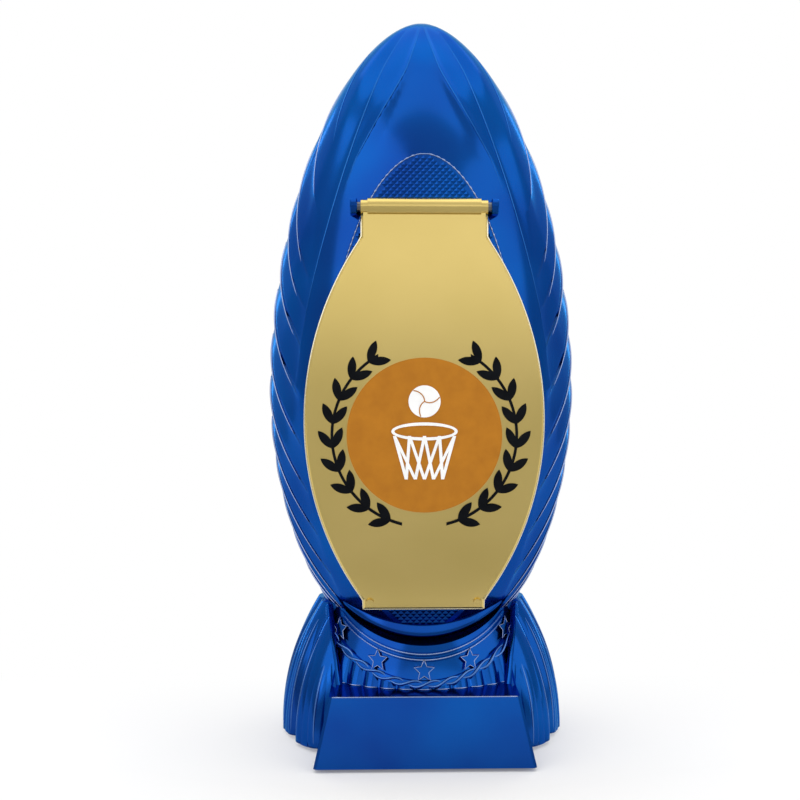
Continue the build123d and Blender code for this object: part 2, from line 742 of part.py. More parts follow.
with BuildPart() as tie_nut:
    with BuildSketch(Plane.XY.offset(NUT_LOW_Z)):
        RegularPolygon(BOLT_HEAD_FLATS / 2, 6, major_radius=False)
        Circle(BOLT_RADIUS + THREAD_CLEARANCE, mode=Mode.SUBTRACT)
    extrude(amount=NUT_HEIGHT)
tie_nut.part.label = "tie_nut"
export_step(tie_nut.part, "parts/tie_nut.step")


def on_front_rim(edge):
    """Whether an edge runs round the front of the plate, below the bar."""
    middle = edge @ 0.5
    front_y = bow_point(bow_angle(middle.Z, PLATE_FRONT), PLATE_FRONT)[0]
    on_outline = abs(middle.X) > PLATE_FOOT_HALF / 2 or middle.Z < PLATE_LOW_Z + PLATE_EDGE_BEVEL
    return on_outline and abs(middle.Y - front_y) < PLATE_EDGE_BEVEL / 10


# Gold plate: a bowed sheet with a rolled bar, ears, a turned-in lip and two corner nubs
plate_sheet = bow_layer(PLATE_GAP, PLATE_FRONT, PLATE_LOW_Z, PIN_Z)
plate_lip = bow_layer(LIP_CLEARANCE, PLATE_FRONT, PLATE_LOW_Z, PLATE_LOW_Z + LIP_HEIGHT)
nub_layer = bow_layer(PLATE_GAP, PLATE_FRONT + NUB_PROUD, PLATE_LOW_Z, PIN_Z)
with BuildPart() as nubs:
    with BuildSketch(Plane.XZ):
        for side in (-1, 1):
            with Locations((side * (PLATE_FOOT_HALF - 2 * NUB_RADIUS), PLATE_LOW_Z + 2 * NUB_RADIUS)):
                Circle(NUB_RADIUS)
    extrude(amount=FAR)
    add(nub_layer, mode=Mode.INTERSECT)
with BuildPart() as front_plate:
    add(plate_sheet)
    add(plate_lip)
    with BuildSketch(Plane.XZ):
        with BuildLine() as outline:
            neck_z = PLATE_TOP_Z - PLATE_NECK_LENGTH
            foot_z = PLATE_LOW_Z + PLATE_FOOT_LENGTH
            Line((PLATE_NECK_HALF, PLATE_TOP_Z), (PLATE_NECK_HALF, neck_z))
            ThreePointArc((PLATE_NECK_HALF, neck_z), (PLATE_HALF_WIDTH, PLATE_WIDEST_Z), (PLATE_FOOT_HALF, foot_z))
            Line((PLATE_FOOT_HALF, foot_z), (PLATE_FOOT_HALF, 0))
            Line((PLATE_FOOT_HALF, 0), (0, 0))
            Line((PLATE_NECK_HALF, PLATE_TOP_Z), (0, PLATE_TOP_Z))
            mirror(about=Plane.YZ)
        make_face()
    extrude(amount=FAR, mode=Mode.INTERSECT)
    chamfer(front_plate.edges().filter_by(on_front_rim), PLATE_EDGE_BEVEL)
    add(nubs.part)
    with BuildSketch(pin_plane):
        Circle(BAR_RADIUS)
    extrude(amount=BAR_HALF_LENGTH, both=True)
    with BuildSketch(pin_plane):
        Circle(BAR_RADIUS - EAR_DROP)
    extrude(amount=PLATE_NECK_HALF, both=True)
    with BuildSketch(pin_plane):
        Circle(PIN_RADIUS + PIN_CLEARANCE)
    extrude(amount=PLATE_NECK_HALF, both=True, mode=Mode.SUBTRACT)
front_plate.part.label = "front_plate"
export_step(front_plate.part, "parts/front_plate.step")

# Steel pin on which the plate hangs
with BuildPart() as hinge_pin:
    with BuildSketch(pin_plane):
        Circle(PIN_RADIUS)
    extrude(amount=LUG_OUTER_X, both=True)
hinge_pin.part.label = "hinge_pin"
export_step(hinge_pin.part, "parts/hinge_pin.step")


def film(faces, inner):
    """A printed film on the plate, cut to shapes of the front view."""
    layer = bow_layer(inner, inner + FILM_THICKNESS, PLATE_LOW_Z, PIN_Z)
    with BuildPart() as cut_film:
        with BuildSketch(Plane.XZ):
            add(faces)
        extrude(amount=FAR)
        add(layer, mode=Mode.INTERSECT)
    return cut_film.part


# Orange disc
with BuildSketch(Plane.XZ) as disc_face:
    with Locations((0, DISC_Z)):
        Circle(DISC_RADIUS)
emblem_disc = film(disc_face.sketch_local, PLATE_FRONT)
emblem_disc.label = "emblem_disc"
export_step(emblem_disc, "parts/emblem_disc.step")

# Laurel branches round the disc, growing from the foot up both sides
with BuildSketch(Plane.XZ) as wreath_face:
    with Locations((0, DISC_Z)):
        Circle(WREATH_RADIUS + WREATH_STEM_WIDTH / 2)
        Circle(WREATH_RADIUS - WREATH_STEM_WIDTH / 2, mode=Mode.SUBTRACT)
    opening = WREATH_RADIUS * sin(radians(WREATH_END_ANGLE))
    with Locations((0, DISC_Z + WREATH_RADIUS)):
        Rectangle(2 * opening, WREATH_RADIUS, mode=Mode.SUBTRACT)
    with Locations((0, DISC_Z - WREATH_RADIUS)):
        Rectangle(2 * WREATH_RADIUS * sin(radians(WREATH_START_ANGLE)), WREATH_RADIUS, mode=Mode.SUBTRACT)
    for i in range(WREATH_LEAVES):
        turn = WREATH_START_ANGLE + (WREATH_END_ANGLE - WREATH_START_ANGLE) * (i + 0.5) / WREATH_LEAVES
        for side in (-1, 1):
            for lean in (-LEAF_LEAN, LEAF_LEAN):
                root = (
                    side * WREATH_RADIUS * sin(radians(turn)),
                    DISC_Z - WREATH_RADIUS * cos(radians(turn)),
                )
                with BuildLine(Plane(origin=root).rotated((0, 0, side * (turn + lean)))):
                    ThreePointArc((0, 0), (side * LEAF_LENGTH / 2, LEAF_WIDTH / 2), (side * LEAF_LENGTH, 0))
                    ThreePointArc((0, 0), (side * LEAF_LENGTH / 2, -LEAF_WIDTH / 2), (side * LEAF_LENGTH, 0))
                make_face()
emblem_wreath = film(wreath_face.sketch_local, PLATE_FRONT)
emblem_wreath.label = "emblem_wreath"
export_step(emblem_wreath, "parts/emblem_wreath.step")

# White hoop, net and ball
with BuildSketch(Plane.XZ) as motif_face:
    with Locations((0, MOTIF_HOOP_Z)):
        Ellipse(MOTIF_HOOP_HALF, MOTIF_HOOP_RISE)
        Ellipse(MOTIF_HOOP_HALF - MOTIF_LINE, MOTIF_HOOP_RISE - MOTIF_LINE, mode=Mode.SUBTRACT)
    net_top = MOTIF_HOOP_Z - MOTIF_HOOP_RISE / 2
    net_foot = net_top - MOTIF_NET_DEPTH
    for i in range(MOTIF_NET_STRANDS):
        share = 2 * i / (MOTIF_NET_STRANDS - 1) - 1
        for shift in (-1, 1):
            foot_share = max(-1.0, min(1.0, share + shift * 2 / (MOTIF_NET_STRANDS - 1)))
            start = (share * (MOTIF_HOOP_HALF - MOTIF_LINE), net_top)
            end = (foot_share * MOTIF_HOOP_HALF * MOTIF_NET_TAPER, net_foot)
            with BuildLine():
                Polyline(
                    (start[0] - MOTIF_LINE / 2, start[1]),
                    (start[0] + MOTIF_LINE / 2, start[1]),
                    (end[0] + MOTIF_LINE / 2, end[1]),
                    (end[0] - MOTIF_LINE / 2, end[1]),
                    close=True,
                )
            make_face()
    with Locations((0, MOTIF_HOOP_Z + MOTIF_BALL_RISE)):
        Circle(MOTIF_BALL_RADIUS)
emblem_motif = film(motif_face.sketch_local, PLATE_FRONT + FILM_THICKNESS)
emblem_motif.label = "emblem_motif"
export_step(emblem_motif, "parts/emblem_motif.step")
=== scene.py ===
import json
from math import asin, cos, degrees, exp, pi, radians, sin, sqrt
import bpy
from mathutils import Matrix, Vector


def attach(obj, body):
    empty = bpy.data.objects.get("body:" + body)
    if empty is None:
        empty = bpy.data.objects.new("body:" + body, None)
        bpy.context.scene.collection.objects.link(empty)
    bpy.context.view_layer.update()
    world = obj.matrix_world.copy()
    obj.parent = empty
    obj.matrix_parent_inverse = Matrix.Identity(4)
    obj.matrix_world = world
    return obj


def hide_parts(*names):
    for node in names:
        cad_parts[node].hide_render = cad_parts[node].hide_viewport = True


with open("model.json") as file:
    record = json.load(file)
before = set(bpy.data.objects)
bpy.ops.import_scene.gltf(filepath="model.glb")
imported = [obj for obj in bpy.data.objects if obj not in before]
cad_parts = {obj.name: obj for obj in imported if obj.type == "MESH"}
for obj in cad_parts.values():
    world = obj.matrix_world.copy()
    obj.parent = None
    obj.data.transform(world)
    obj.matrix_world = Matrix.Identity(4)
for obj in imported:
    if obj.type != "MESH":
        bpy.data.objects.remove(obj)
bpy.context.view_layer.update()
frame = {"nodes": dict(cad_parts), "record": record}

# A plated sports award: the CAD frame dressed with finer plated skins. Sizes are
# in millimetres and become metres when a mesh is made. Angles are in degrees,
# from the front towards +X.
MM = 0.001
SIDES = (-1, 1)

# Camera, set to the photograph's view
LENS_MM = 50.0
SENSOR_MM = 36.0
CLIP_START_M = 0.01
CAMERA_DISTANCE = 360.0
CAMERA_HEIGHT = 103.5
CAMERA_YAW_DEG = 1.4
AXIS_SHIFT = -0.0262

# Lamps: name, place, height of the point aimed at on the axis, size, watts
LAMPS = (
    ("key_left", (-520, -460, 520), 120, (700, 700), 1.6),
    ("fill_right", (620, -320, 360), 110, (600, 700), 1.1),
    ("front_high", (0, -1000, 330), 130, (1700, 320), 1.3),
    ("strip_left", (-300, 400, 150), 130, (45, 620), 0.2),
    ("strip_right", (300, 400, 150), 130, (45, 620), 0.2),
    ("top", (0, 60, 800), 120, (900, 900), 2.0),
)

# World: brightness by the height of a direction, and what directions to the back
# add, each as (low, high, from, to)
SKY_BY_HEIGHT = (0.25, 0.85, -0.4, 0.9)
SKY_BEHIND = (0.0, 0.35, -0.3, 0.9)
BLACK = (0.0, 0.0, 0.0)
WHITE = (1.0, 1.0, 1.0)

# Floor: white far from the object and behind it, mirrored darker in front of it
FLOOR_HALF = 3000.0
FLOOR_SHADOW = 60.0
FLOOR_WHITE = 260.0
FLOOR_GREY_Y = -70.0
FLOOR_WHITE_Y = 60.0
FLOOR_PALE = 0.86
FLOOR_ROUGHNESS = 0.8
FLOOR_MIRRORED = 0.42
FLOOR_MIRRORED_Y = -85.0
FLOOR_PALE_Y = -65.0

# Sockets of a mix node: A, B and the result, for numbers and for colours
MIX_NUMBERS = (2, 3, 0)
MIX_COLOURS = (6, 7, 2)

# Plated metals: two colours that drift into each other, the range of the
# roughness and the tint at grazing angles
DRIFT_SCALE = 0.03
DRIFT_DETAIL = 2.0
GRAIN_SCALE = 1.2
GRAIN_DETAIL = 4.0
RIPPLE_MM = 0.4
RIPPLE_STRENGTH = 0.15
COAT_ROUGHNESS = 0.05
PLATED = {
    "blue_plating": {
        "low": (0.004, 0.042, 0.255),
        "high": (0.003, 0.078, 0.35),
        "rough": (0.14, 0.21),
        "tint": (0.22, 0.58, 0.95),
        "coat": 0.05,
        "metallic": 0.97,
    },
    # Pale copy of the blue plating, used on thin crests and edge lines: a painted highlight
    "painted_highlight_pale": {
        "low": (0.26, 0.34, 0.56),
        "high": (0.36, 0.43, 0.66),
        "rough": (0.16, 0.26),
        "tint": (0.8, 0.88, 1.0),
    },
    # Lighter copy of the blue plating, used on the pleat crests and the chain: a painted highlight
    "painted_highlight_mid": {
        "low": (0.06, 0.15, 0.42),
        "high": (0.09, 0.2, 0.5),
        "rough": (0.16, 0.26),
        "tint": (0.6, 0.8, 1.0),
    },
    # Lighter copy of the blue plating, used on the crown's arch lines: a softer painted highlight
    "painted_highlight_soft": {
        "low": (0.020, 0.125, 0.42),
        "high": (0.028, 0.16, 0.50),
        "rough": (0.2, 0.3),
        "tint": (0.5, 0.75, 1.0),
    },
    # Pale copy of the gold plating, used on the plate's rim line: a painted highlight
    "painted_highlight_gold": {
        "low": (0.84, 0.77, 0.54),
        "high": (0.90, 0.84, 0.62),
        "rough": (0.22, 0.32),
        "tint": (1.0, 1.0, 0.95),
    },
    "gold_plating": {
        "low": (0.67, 0.512, 0.168),
        "high": (0.73, 0.56, 0.197),
        "rough": (0.26, 0.33),
        "tint": (1.0, 0.95, 0.8),
    },
    "steel": {
        "low": (0.45, 0.45, 0.46),
        "high": (0.58, 0.58, 0.6),
        "rough": (0.25, 0.4),
        "tint": WHITE,
    },
    # Steel darkened below bright drawn steel, as for pin ends in shadow: painted shade
    "pin_steel": {
        "low": (0.13, 0.13, 0.14),
        "high": (0.20, 0.20, 0.21),
        "rough": (0.25, 0.35),
        "tint": (0.9, 0.9, 0.9),
    },
    "ballast_iron": {
        "low": (0.10, 0.10, 0.11),
        "high": (0.18, 0.17, 0.17),
        "rough": (0.5, 0.7),
        "tint": WHITE,
        "grain": 0.4,
    },
}

# Plastics and printed films: two colours of a faint mottle, roughness, gloss
MOTTLE_SCALE = 0.25
MOTTLE_DETAIL = 4.0
MOTTLE_ROUGHNESS = 0.04
FILMS = {
    "black_plastic": ((0.012, 0.012, 0.013), (0.03, 0.03, 0.032), 0.5, 0.4),
    "natural_plastic": ((0.62, 0.60, 0.54), (0.72, 0.70, 0.64), 0.45, 0.4),
    "orange_film": ((0.40, 0.145, 0.005), (0.46, 0.172, 0.007), 0.5, 0.22),
    "black_film": ((0.002, 0.0025, 0.004), (0.005, 0.006, 0.008), 0.6, 0.06),
    "white_film": ((0.86, 0.86, 0.85), (0.93, 0.93, 0.92), 0.4, 0.4),
}

FELT_LOW = (0.004, 0.004, 0.005)
FELT_HIGH = (0.02, 0.02, 0.024)
FELT_SCALE = 2.5
FELT_DETAIL = 6.0
FELT_RELIEF_MM = 0.3
FELT_STRENGTH = 0.6
FELT_ROUGHNESS = 0.95

# Tubes: a direction that none runs along, and how many sides they have
TUBE_GUIDE = Vector((0.31, -0.87, 0.38))
LINE_SIDES = 6
ROUND_SIDES = 8
HEM_SIDES = 12
FOLD_SIDES = 24

# Egg and facet, with the solids' sizes
EGG_RADIUS = 48.3
EGG_WIDEST_Z = 108.6
EGG_TOP_Z = 225.0
EGG_FLOOR_Z = 31.0
EGG_LOWER_REACH = 88.0
EGG_UPPER_POWER = 1.9
EGG_UPPER_ROUNDING = 0.58
SLOPE_PROBE = 0.05
BOW_Y = -39.2
BOW_Z = 127.0
BOW_RADIUS = 832.0
BOW_LOWER_Z = 95.0
BOW_LOWER_RADIUS = 183.0

# Knurled field of the facet, free of knurls round the pin
KNURL_PITCH = 1.9
KNURL_HEIGHT = 0.32
KNURL_LIFT = 0.02
KNURL_MARGIN = 0.5
KNURL_LOW_Z = 33.0
KNURL_HIGH_Z = 176.0
PIN_BAY_HALF = 21.8
PIN_BAY_LOW_Z = 156.4
PIN_BAY_HIGH_Z = 161.8

# Beaded line round the facet's upper end
BORDER_RADIUS = 0.12
BORDER_BEAD = 0.2
BORDER_BEAD_POWER = 4
BORDER_INSET = 0.5
BORDER_TIP_HALF = 0.3
BORDER_HIGH_Z = 179.0
BORDER_LOW_Z = 130.0
BORDER_STEPS = 160
BORDER_CROWDING = 1.6

# Band round the egg's neck. Its edges are (outwards, upwards) from the corners.
NECK_BAND_Z = 34.45
NECK_BAND_RISE = 7.4
NECK_BAND_ANGLE = 50.0
NECK_BAND_HALF = 1.75
NECK_BAND_THINNING = 0.6
NECK_BAND_DEPTH = 1.0
NECK_BAND_PROUD = 0.25
NECK_BAND_SINKING = 0.55
NECK_BAND_FLARE = 0.7
NECK_BAND_BULGE = 0.1
NECK_BAND_TOP_FALL = 0.1
NECK_BAND_TOP_EDGE = ((-0.25, 0.0), (0.0, -0.2), (0.05, -0.4))
NECK_BAND_LOW_EDGE = ((0.0, 0.5), (-0.02, 0.25), (-0.3, 0.0))
NECK_BAND_STEPS = 60

# Swept flutes of the egg's skin. Ridges fall from the seam by millimetres per
# degree, more of them near the top, and less close to the top and to the floor.
SEAM_ANGLE = 90.0
CROWN_RIDGE_Z = 216.0
FLUTE_TOP_Z = 188.2
FLUTE_LOW_Z = 48.0
FLUTE_PITCH_LOW = 9.6
FLUTE_PITCH_GROWTH = 0.052
FLUTE_DEPTH = 1.5
FLUTE_FADE_ANGLE = 49.0
FLUTE_FADE_WIDTH = 24.0
RIDGE_FALL = 0.9
RIDGE_FALL_TOP = 0.5
RIDGE_REACH = 40.0
STEEPER_FROM_Z = 160.0
STEEPER_OVER = 47.0
TOP_EASE = 9.0
FLOOR_EASE = 40.0
CROWN_FADE_Z = 216.0
CROWN_FADE = 60.0
CROWN_DEPTH = 0.9
BESIDE_SEAM_ANGLE = 88.0
BESIDE_SEAM_WIDTH = 14.0

# Section of a flute or a step: steep at first, then slow, with its highest value
STEP_RISE_POWER = 0.3
STEP_FALL_POWER = 1.3
STEP_PEAK = 0.462

# Arch of the crown, as (height, angle): its edge, a soft fold inside it and a
# line outside it
ARCH_EDGE = (
    (225.0, 22.0),
    (216.0, 25.0),
    (204.0, 30.0),
    (178.0, 35.5),
    (156.0, 40.5),
    (130.0, 47.0),
    (104.0, 53.0),
)
ARCH_FOLD = ((223.0, 2.0), (203.0, 11.0), (189.0, 21.6), (175.0, 31.0), (165.0, 35.0))
SIDE_FOLD = ((214.0, 65.0), (206.0, 60.4), (195.0, 55.5), (182.0, 50.0))
ARCH_STEP = 1.3
ARCH_STEP_WIDTH = 16.0
ARCH_TOP_Z = 222.0
ARCH_TOP_EASE = 12.0
ARCH_LOW_EASE = 40.0
FOLD_HEIGHT = 0.75
FOLD_WIDTH = 2.6
FOLD_TOP_EASE = 12.0
FOLD_LOW_EASE = 20.0

# Rows and columns of the egg's skin. Rows crowd under each ridge, columns at the
# arch's edge.
HALVINGS = 40
CROWN_ROWS = 26
CROWN_CROWDING = 1.6
FOOT_ROWS = 8
FLOOR_GAP = 0.001
FINER_ROWS_Z = 180.0
ROW_SHARES = (0.0, 0.015, 0.05, 0.12, 0.22, 0.35, 0.5, 0.66, 0.83)
TIP_INSETS = (0.0, 0.1, 0.4, 0.9, 1.6)
PIN_ROW_STEPS = (-2.3, -2.1, -1.4, -0.7, 0.0, 0.7, 1.4, 2.1, 2.3)
FACET_SHARES = (0.0, 0.2, 0.4, 0.6, 0.75, 0.86, 0.94, 0.97, 1.0)
SEAM_ANGLES = (90.0, 89.5)
OUTER_ANGLE = 89.0
NEAR_EDGE = (4.0, 2.2, 1.1, 0.5, 0.2, 0.0, -0.2, -0.6, -1.4, -3.0)
OUTER_COLUMNS = 40
INNER_COLUMNS = 20
SEAM_GROOVE = 0.2
SEAM_GROOVE_WIDTH = 0.6
SEAM_GROOVE_EASE = 4.0
SAME_PLACE_DIGITS = 4

# Crests of the ridges and of the crown's lines, coloured to paint a highlight along them
CREST_RADIUS = 0.33
CREST_END = 0.03
CREST_TAPER = 0.6
CREST_START_ANGLE = 89.0
CREST_END_ANGLE = 54.0
CREST_START = 0.5
CREST_GROWTH = 3.0
CREST_STEPS = 28
ARCH_LINES = ((ARCH_EDGE, 0.2), (ARCH_FOLD, 0.12), (SIDE_FOLD, 0.2))
ARCH_CREST_END = 0.02
ARCH_CREST_TAPER = 0.7
ARCH_CREST_TOP_Z = 220.0
ARCH_CREST_LOW_Z = 128.0
ARCH_CREST_STEPS = 40

# Rim of the plate
PLATE_NECK = (18.1, 150.0)
PLATE_WIDEST = (34.35, 97.8)
PLATE_FOOT = (17.85, 44.6)
PLATE_SHOULDERS = (3.0, 0.4)
PLATE_LOW_Z = 41.6
PLATE_FOOT_FALL = 0.2
PLATE_CORNER = 0.3
PLATE_LIP_LIFT = 0.05
PLATE_RIM_TOP_Z = 156.0
PLATE_RIM_DEPTH = 2.4
PLATE_RIM = 0.26
PLATE_SIDE_STEPS = 70
PLATE_LIP_STEPS = 6

# Ball of the emblem and its seams
BALL_Z = 103.1
BALL_RADIUS = 4.6
FILM_FRONT = 3.48
SEAM_RADIUS = 0.17
SEAM_TURNS = (90, 210, 330)
SEAM_REACH = 0.97
SEAM_CURL = 46.0
SEAM_STEPS = 12

# Pin and its lugs
PIN_Y = -40.683
PIN_Z = 159.0
PIN_BORE = 1.45
GROOVE_RADIUS = 3.0
LUG_INNER_X = 19.3
LUG_OUTER_X = 21.3
LUG_HALF = 2.2
LUG_FRONT = 2.6
LUG_SINK = 1.2
LUG_EDGE = 0.25
LUG_STEPS = 32
TINY = 1e-6

# Bell of the base and its smooth front panel, with the solids' sizes
BELL_FOOT_RADIUS = 44.2
BELL_TOP_RADIUS = 33.0
BELL_FOOT_Z = 1.0
BELL_TOP_Z = 40.5
BELL_HEIGHT = BELL_TOP_Z - BELL_FOOT_Z
PANEL_INSET = 3.2
PANEL_TOP_HALF = 29.0
PANEL_FOOT_HALF = 22.5

# Hems beside the panel
HEM_TOP_GAP = 0.6
HEM_LOW_Z = 4.0
HEM_RADIUS = 1.7
HEM_SINK = 1.3
HEM_TOP_SHARE = 0.7
HEM_GROWTH = 0.5
HEM_STEPS = 40

# Pleats of the bell, and the two folds and crests on each of them
PLEAT_COUNT = 18
PLEAT_FRONT_FLARE = 0.12
PLEAT_RADIUS = 10.0
PLEAT_STEPS = 20
PLEAT_FOLD_ANGLE = 25.0
PLEAT_FOLD_CLOSING = 0.3
PLEAT_FOLD_RADIUS = 4.0
PLEAT_FOLD_PROUD = 0.7
PLEAT_FOLD_SINKING = 1.15
PLEAT_FOLD_SINKING_POWER = 3
PLEAT_FOLD_FOOT = 0.15
PLEAT_FOLD_TOP = 1.0
PLEAT_FOLD_MARGIN = 2.2
PLEAT_CREST = 0.3
PLEAT_CREST_END = 0.04
PLEAT_CREST_TAPER = 0.6
PLEAT_CREST_SINK = 0.12

# Swag of the base: two hanging lines, stars, a chain
RIM_CENTRE_Z = 28.5
RIM_END_X = 25.0
RIM_END_Z = 38.0
RIM_SHOWN = 0.97
RIM_SPACING = 1.5
RIM_PROUD = 0.7
RIM_STEPS = 60
EDGE_RADIUS = 0.16
EDGE_END = 0.03
EDGE_TAPER = 0.5
STARS_BESIDE = 2
STAR_CORNERS = 10
STAR_RADIUS = 3.1
STAR_WAIST = 0.45
STAR_PROUD = 1.2
STAR_STEP_ANGLE = 21.5
STAR_EDGE = 0.13
CHAIN_CENTRE_Z = 21.4
CHAIN_END_X = 28.6
CHAIN_END_Z = 33.8
CHAIN_LINKS = 12
CHAIN_LINK_STEPS = 14
CHAIN_STRAND = 0.38
CHAIN_HALF_WIDTH = 0.8
CHAIN_LIFT = 1.3
CHAIN_TWIST = 0.4

# Ledge on the block's top, where the fringe ends
LEDGE_Z = 19.8
FRINGE_BESIDE = 5
FRINGE_STEP_ANGLE = 8.0
FRINGE_RADIUS = 3.2
FRINGE_SINK = 2.1
FRINGE_SHOWN_ANGLE = 49.0
FRINGE_LIFT = 0.15
FRINGE_STEPS = 12
BLOCK_EDGE_HALF = 26.2
BLOCK_EDGE_Y = -46.75
BLOCK_EDGE_SINK = 0.05
BLOCK_EDGE_STEPS = 20


def node_material(name):
    """A new material with its node tree and principled shader."""
    material = bpy.data.materials.new(name)
    material.use_nodes = True
    tree = material.node_tree
    return material, tree, tree.nodes["Principled BSDF"]


def link(tree, source, output, target, socket):
    """Joins an output of one node to a socket of another."""
    tree.links.new(source.outputs[output], target.inputs[socket])


def place(tree):
    """Object-space coordinates in millimetres."""
    where = tree.nodes.new("ShaderNodeTexCoord")
    mapping = tree.nodes.new("ShaderNodeMapping")
    mapping.inputs["Scale"].default_value = (1 / MM, 1 / MM, 1 / MM)
    link(tree, where, "Object", mapping, "Vector")
    return mapping


def noise(tree, vector, scale, detail):
    """A noise texture over given coordinates."""
    texture = tree.nodes.new("ShaderNodeTexNoise")
    texture.inputs["Scale"].default_value = scale
    texture.inputs["Detail"].default_value = detail
    link(tree, vector, "Vector", texture, "Vector")
    return texture


def ramp(tree, source, output, low, high, low_at=0.3, high_at=0.7):
    """A colour ramp between two colours, driven by an output."""
    colours = tree.nodes.new("ShaderNodeValToRGB")
    colours.color_ramp.elements[0].position = low_at
    colours.color_ramp.elements[0].color = (*low, 1.0)
    colours.color_ramp.elements[1].position = high_at
    colours.color_ramp.elements[1].color = (*high, 1.0)
    link(tree, source, output, colours, "Fac")
    return colours


def spread(tree, source, output, low, high, start=0.0, end=1.0):
    """Maps an output between a start and an end on to a range of values."""
    mapped = tree.nodes.new("ShaderNodeMapRange")
    mapped.inputs["From Min"].default_value = start
    mapped.inputs["From Max"].default_value = end
    mapped.inputs["To Min"].default_value = low
    mapped.inputs["To Max"].default_value = high
    link(tree, source, output, mapped, "Value")
    return mapped


def combine(tree, operation, first, first_output, second, second_output):
    """The sum, product or greater of two outputs."""
    result = tree.nodes.new("ShaderNodeMath")
    result.operation = operation
    link(tree, first, first_output, result, 0)
    link(tree, second, second_output, result, 1)
    return result


def bump(tree, shader, source, distance_mm, strength):
    """Fine relief on a shader from a noise."""
    relief = tree.nodes.new("ShaderNodeBump")
    relief.inputs["Distance"].default_value = distance_mm * MM
    relief.inputs["Strength"].default_value = strength
    link(tree, source, "Fac", relief, "Height")
    link(tree, relief, "Normal", shader, "Normal")


def plated_metal(name, low, high, rough, tint, coat=0.0, metallic=1.0, grain=GRAIN_SCALE):
    """Plated metal: a colour that drifts a little, uneven polish and a faint moulded ripple."""
    material, tree, shader = node_material(name)
    where = place(tree)
    drift = noise(tree, where, DRIFT_SCALE, DRIFT_DETAIL)
    fine = noise(tree, where, grain, GRAIN_DETAIL)
    link(tree, ramp(tree, drift, "Fac", low, high), "Color", shader, "Base Color")
    link(tree, spread(tree, fine, "Fac", *rough), "Result", shader, "Roughness")
    bump(tree, shader, drift, RIPPLE_MM, RIPPLE_STRENGTH)
    shader.inputs["Metallic"].default_value = metallic
    shader.inputs["Specular Tint"].default_value = (*tint, 1.0)
    shader.inputs["Coat Weight"].default_value = coat
    shader.inputs["Coat Roughness"].default_value = COAT_ROUGHNESS
    return material


def coloured_film(name, low, high, roughness, gloss):
    """Plastic or printed film: an even colour with a faint mottle under a thin gloss."""
    material, tree, shader = node_material(name)
    mottle = noise(tree, place(tree), MOTTLE_SCALE, MOTTLE_DETAIL)
    link(tree, ramp(tree, mottle, "Fac", low, high), "Color", shader, "Base Color")
    rough = (roughness - MOTTLE_ROUGHNESS, roughness + MOTTLE_ROUGHNESS)
    link(tree, spread(tree, mottle, "Fac", *rough), "Result", shader, "Roughness")
    shader.inputs["Specular IOR Level"].default_value = gloss
    return material


def felt_material():
    """Dense dark felt with short fibres."""
    material, tree, shader = node_material("felt")
    fibres = noise(tree, place(tree), FELT_SCALE, FELT_DETAIL)
    link(tree, ramp(tree, fibres, "Fac", FELT_LOW, FELT_HIGH), "Color", shader, "Base Color")
    bump(tree, shader, fibres, FELT_RELIEF_MM, FELT_STRENGTH)
    shader.inputs["Roughness"].default_value = FELT_ROUGHNESS
    return material


finishes = {name: plated_metal(name, **look) for name, look in PLATED.items()}
finishes.update({name: coloured_film(name, *look) for name, look in FILMS.items()})
finishes["felt"] = felt_material()

for subpart in frame["record"]["subparts"]:
    node = frame["nodes"][subpart["node"]]
    node.data.materials.clear()
    node.data.materials.append(finishes[subpart["material_slot"]])


def mesh_piece(name, points_and_faces, slot, finish=None, body="tower", smooth=True):
    """A mesh object from points in millimetres that rides on a body, in its slot's finish or another."""
    points, faces = points_and_faces
    mesh = bpy.data.meshes.new(name)
    mesh.from_pydata([(x * MM, y * MM, z * MM) for x, y, z in points], [], faces)
    mesh.update()
    for polygon in mesh.polygons:
        polygon.use_smooth = smooth
    mesh.materials.append(finishes[finish or slot])
    piece = bpy.data.objects.new(name, mesh)
    bpy.context.scene.collection.objects.link(piece)
    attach(piece, body)
    return piece


def clamp(value):
    """A value held between 0 and 1."""
    return max(0.0, min(1.0, value))


def halved(inside, outside, holds):
    """The two sides of the value where a condition stops holding, found by halving."""
    for _ in range(HALVINGS):
        middle = (inside + outside) / 2
        if holds(middle):
            inside = middle
        else:
            outside = middle
    return inside, outside


def around(reach, angle, z):
    """Point at a distance from the axis, at an angle in radians and a height."""
    return Vector((reach * sin(angle), -reach * cos(angle), z))


def lofted(rings, turned=False):
    """Points and faces of a closed skin over rings of equal length, turned where they run the other way."""
    sides = len(rings[0])
    last = len(rings) - 1
    points = [point for ring in rings for point in ring]
    faces = []
    for i in range(last):
        here, there = i * sides, (i + 1) * sides
        for j in range(sides):
            after = (j + 1) % sides
            second, fourth = there + j, here + after
            if turned:
                second, fourth = fourth, second
            faces.append((here + j, second, there + after, fourth))
    start, end = list(range(sides)), list(range(last * sides, (last + 1) * sides))
    (start if turned else end).reverse()
    return points, faces + [tuple(start), tuple(end)]


def tube(path, radii, sides=LINE_SIDES):
    """Points and faces of a closed tube along a path, with a radius at each of its points."""
    rings = []
    last = len(path) - 1
    turns = [2 * pi * j / sides for j in range(sides)]
    for i, (centre, radius) in enumerate(zip(path, radii)):
        along = (path[min(i + 1, last)] - path[max(i - 1, 0)]).normalized()
        across = along.cross(TUBE_GUIDE).normalized()
        outward = across.cross(along)
        rings.append([centre + (across * cos(turn) + outward * sin(turn)) * radius for turn in turns])
    return lofted(rings)


def swelling(share, end, thickness, taper):
    """Radius, part of the way along, of a line that thins out at both ends."""
    return end + thickness * max(0.0, sin(pi * share)) ** taper


def joined(parts):
    """Points and faces of several meshes as one."""
    points, faces = [], []
    for part_points, part_faces in parts:
        start = len(points)
        points += part_points
        faces += [tuple(start + i for i in face) for face in part_faces]
    return points, faces


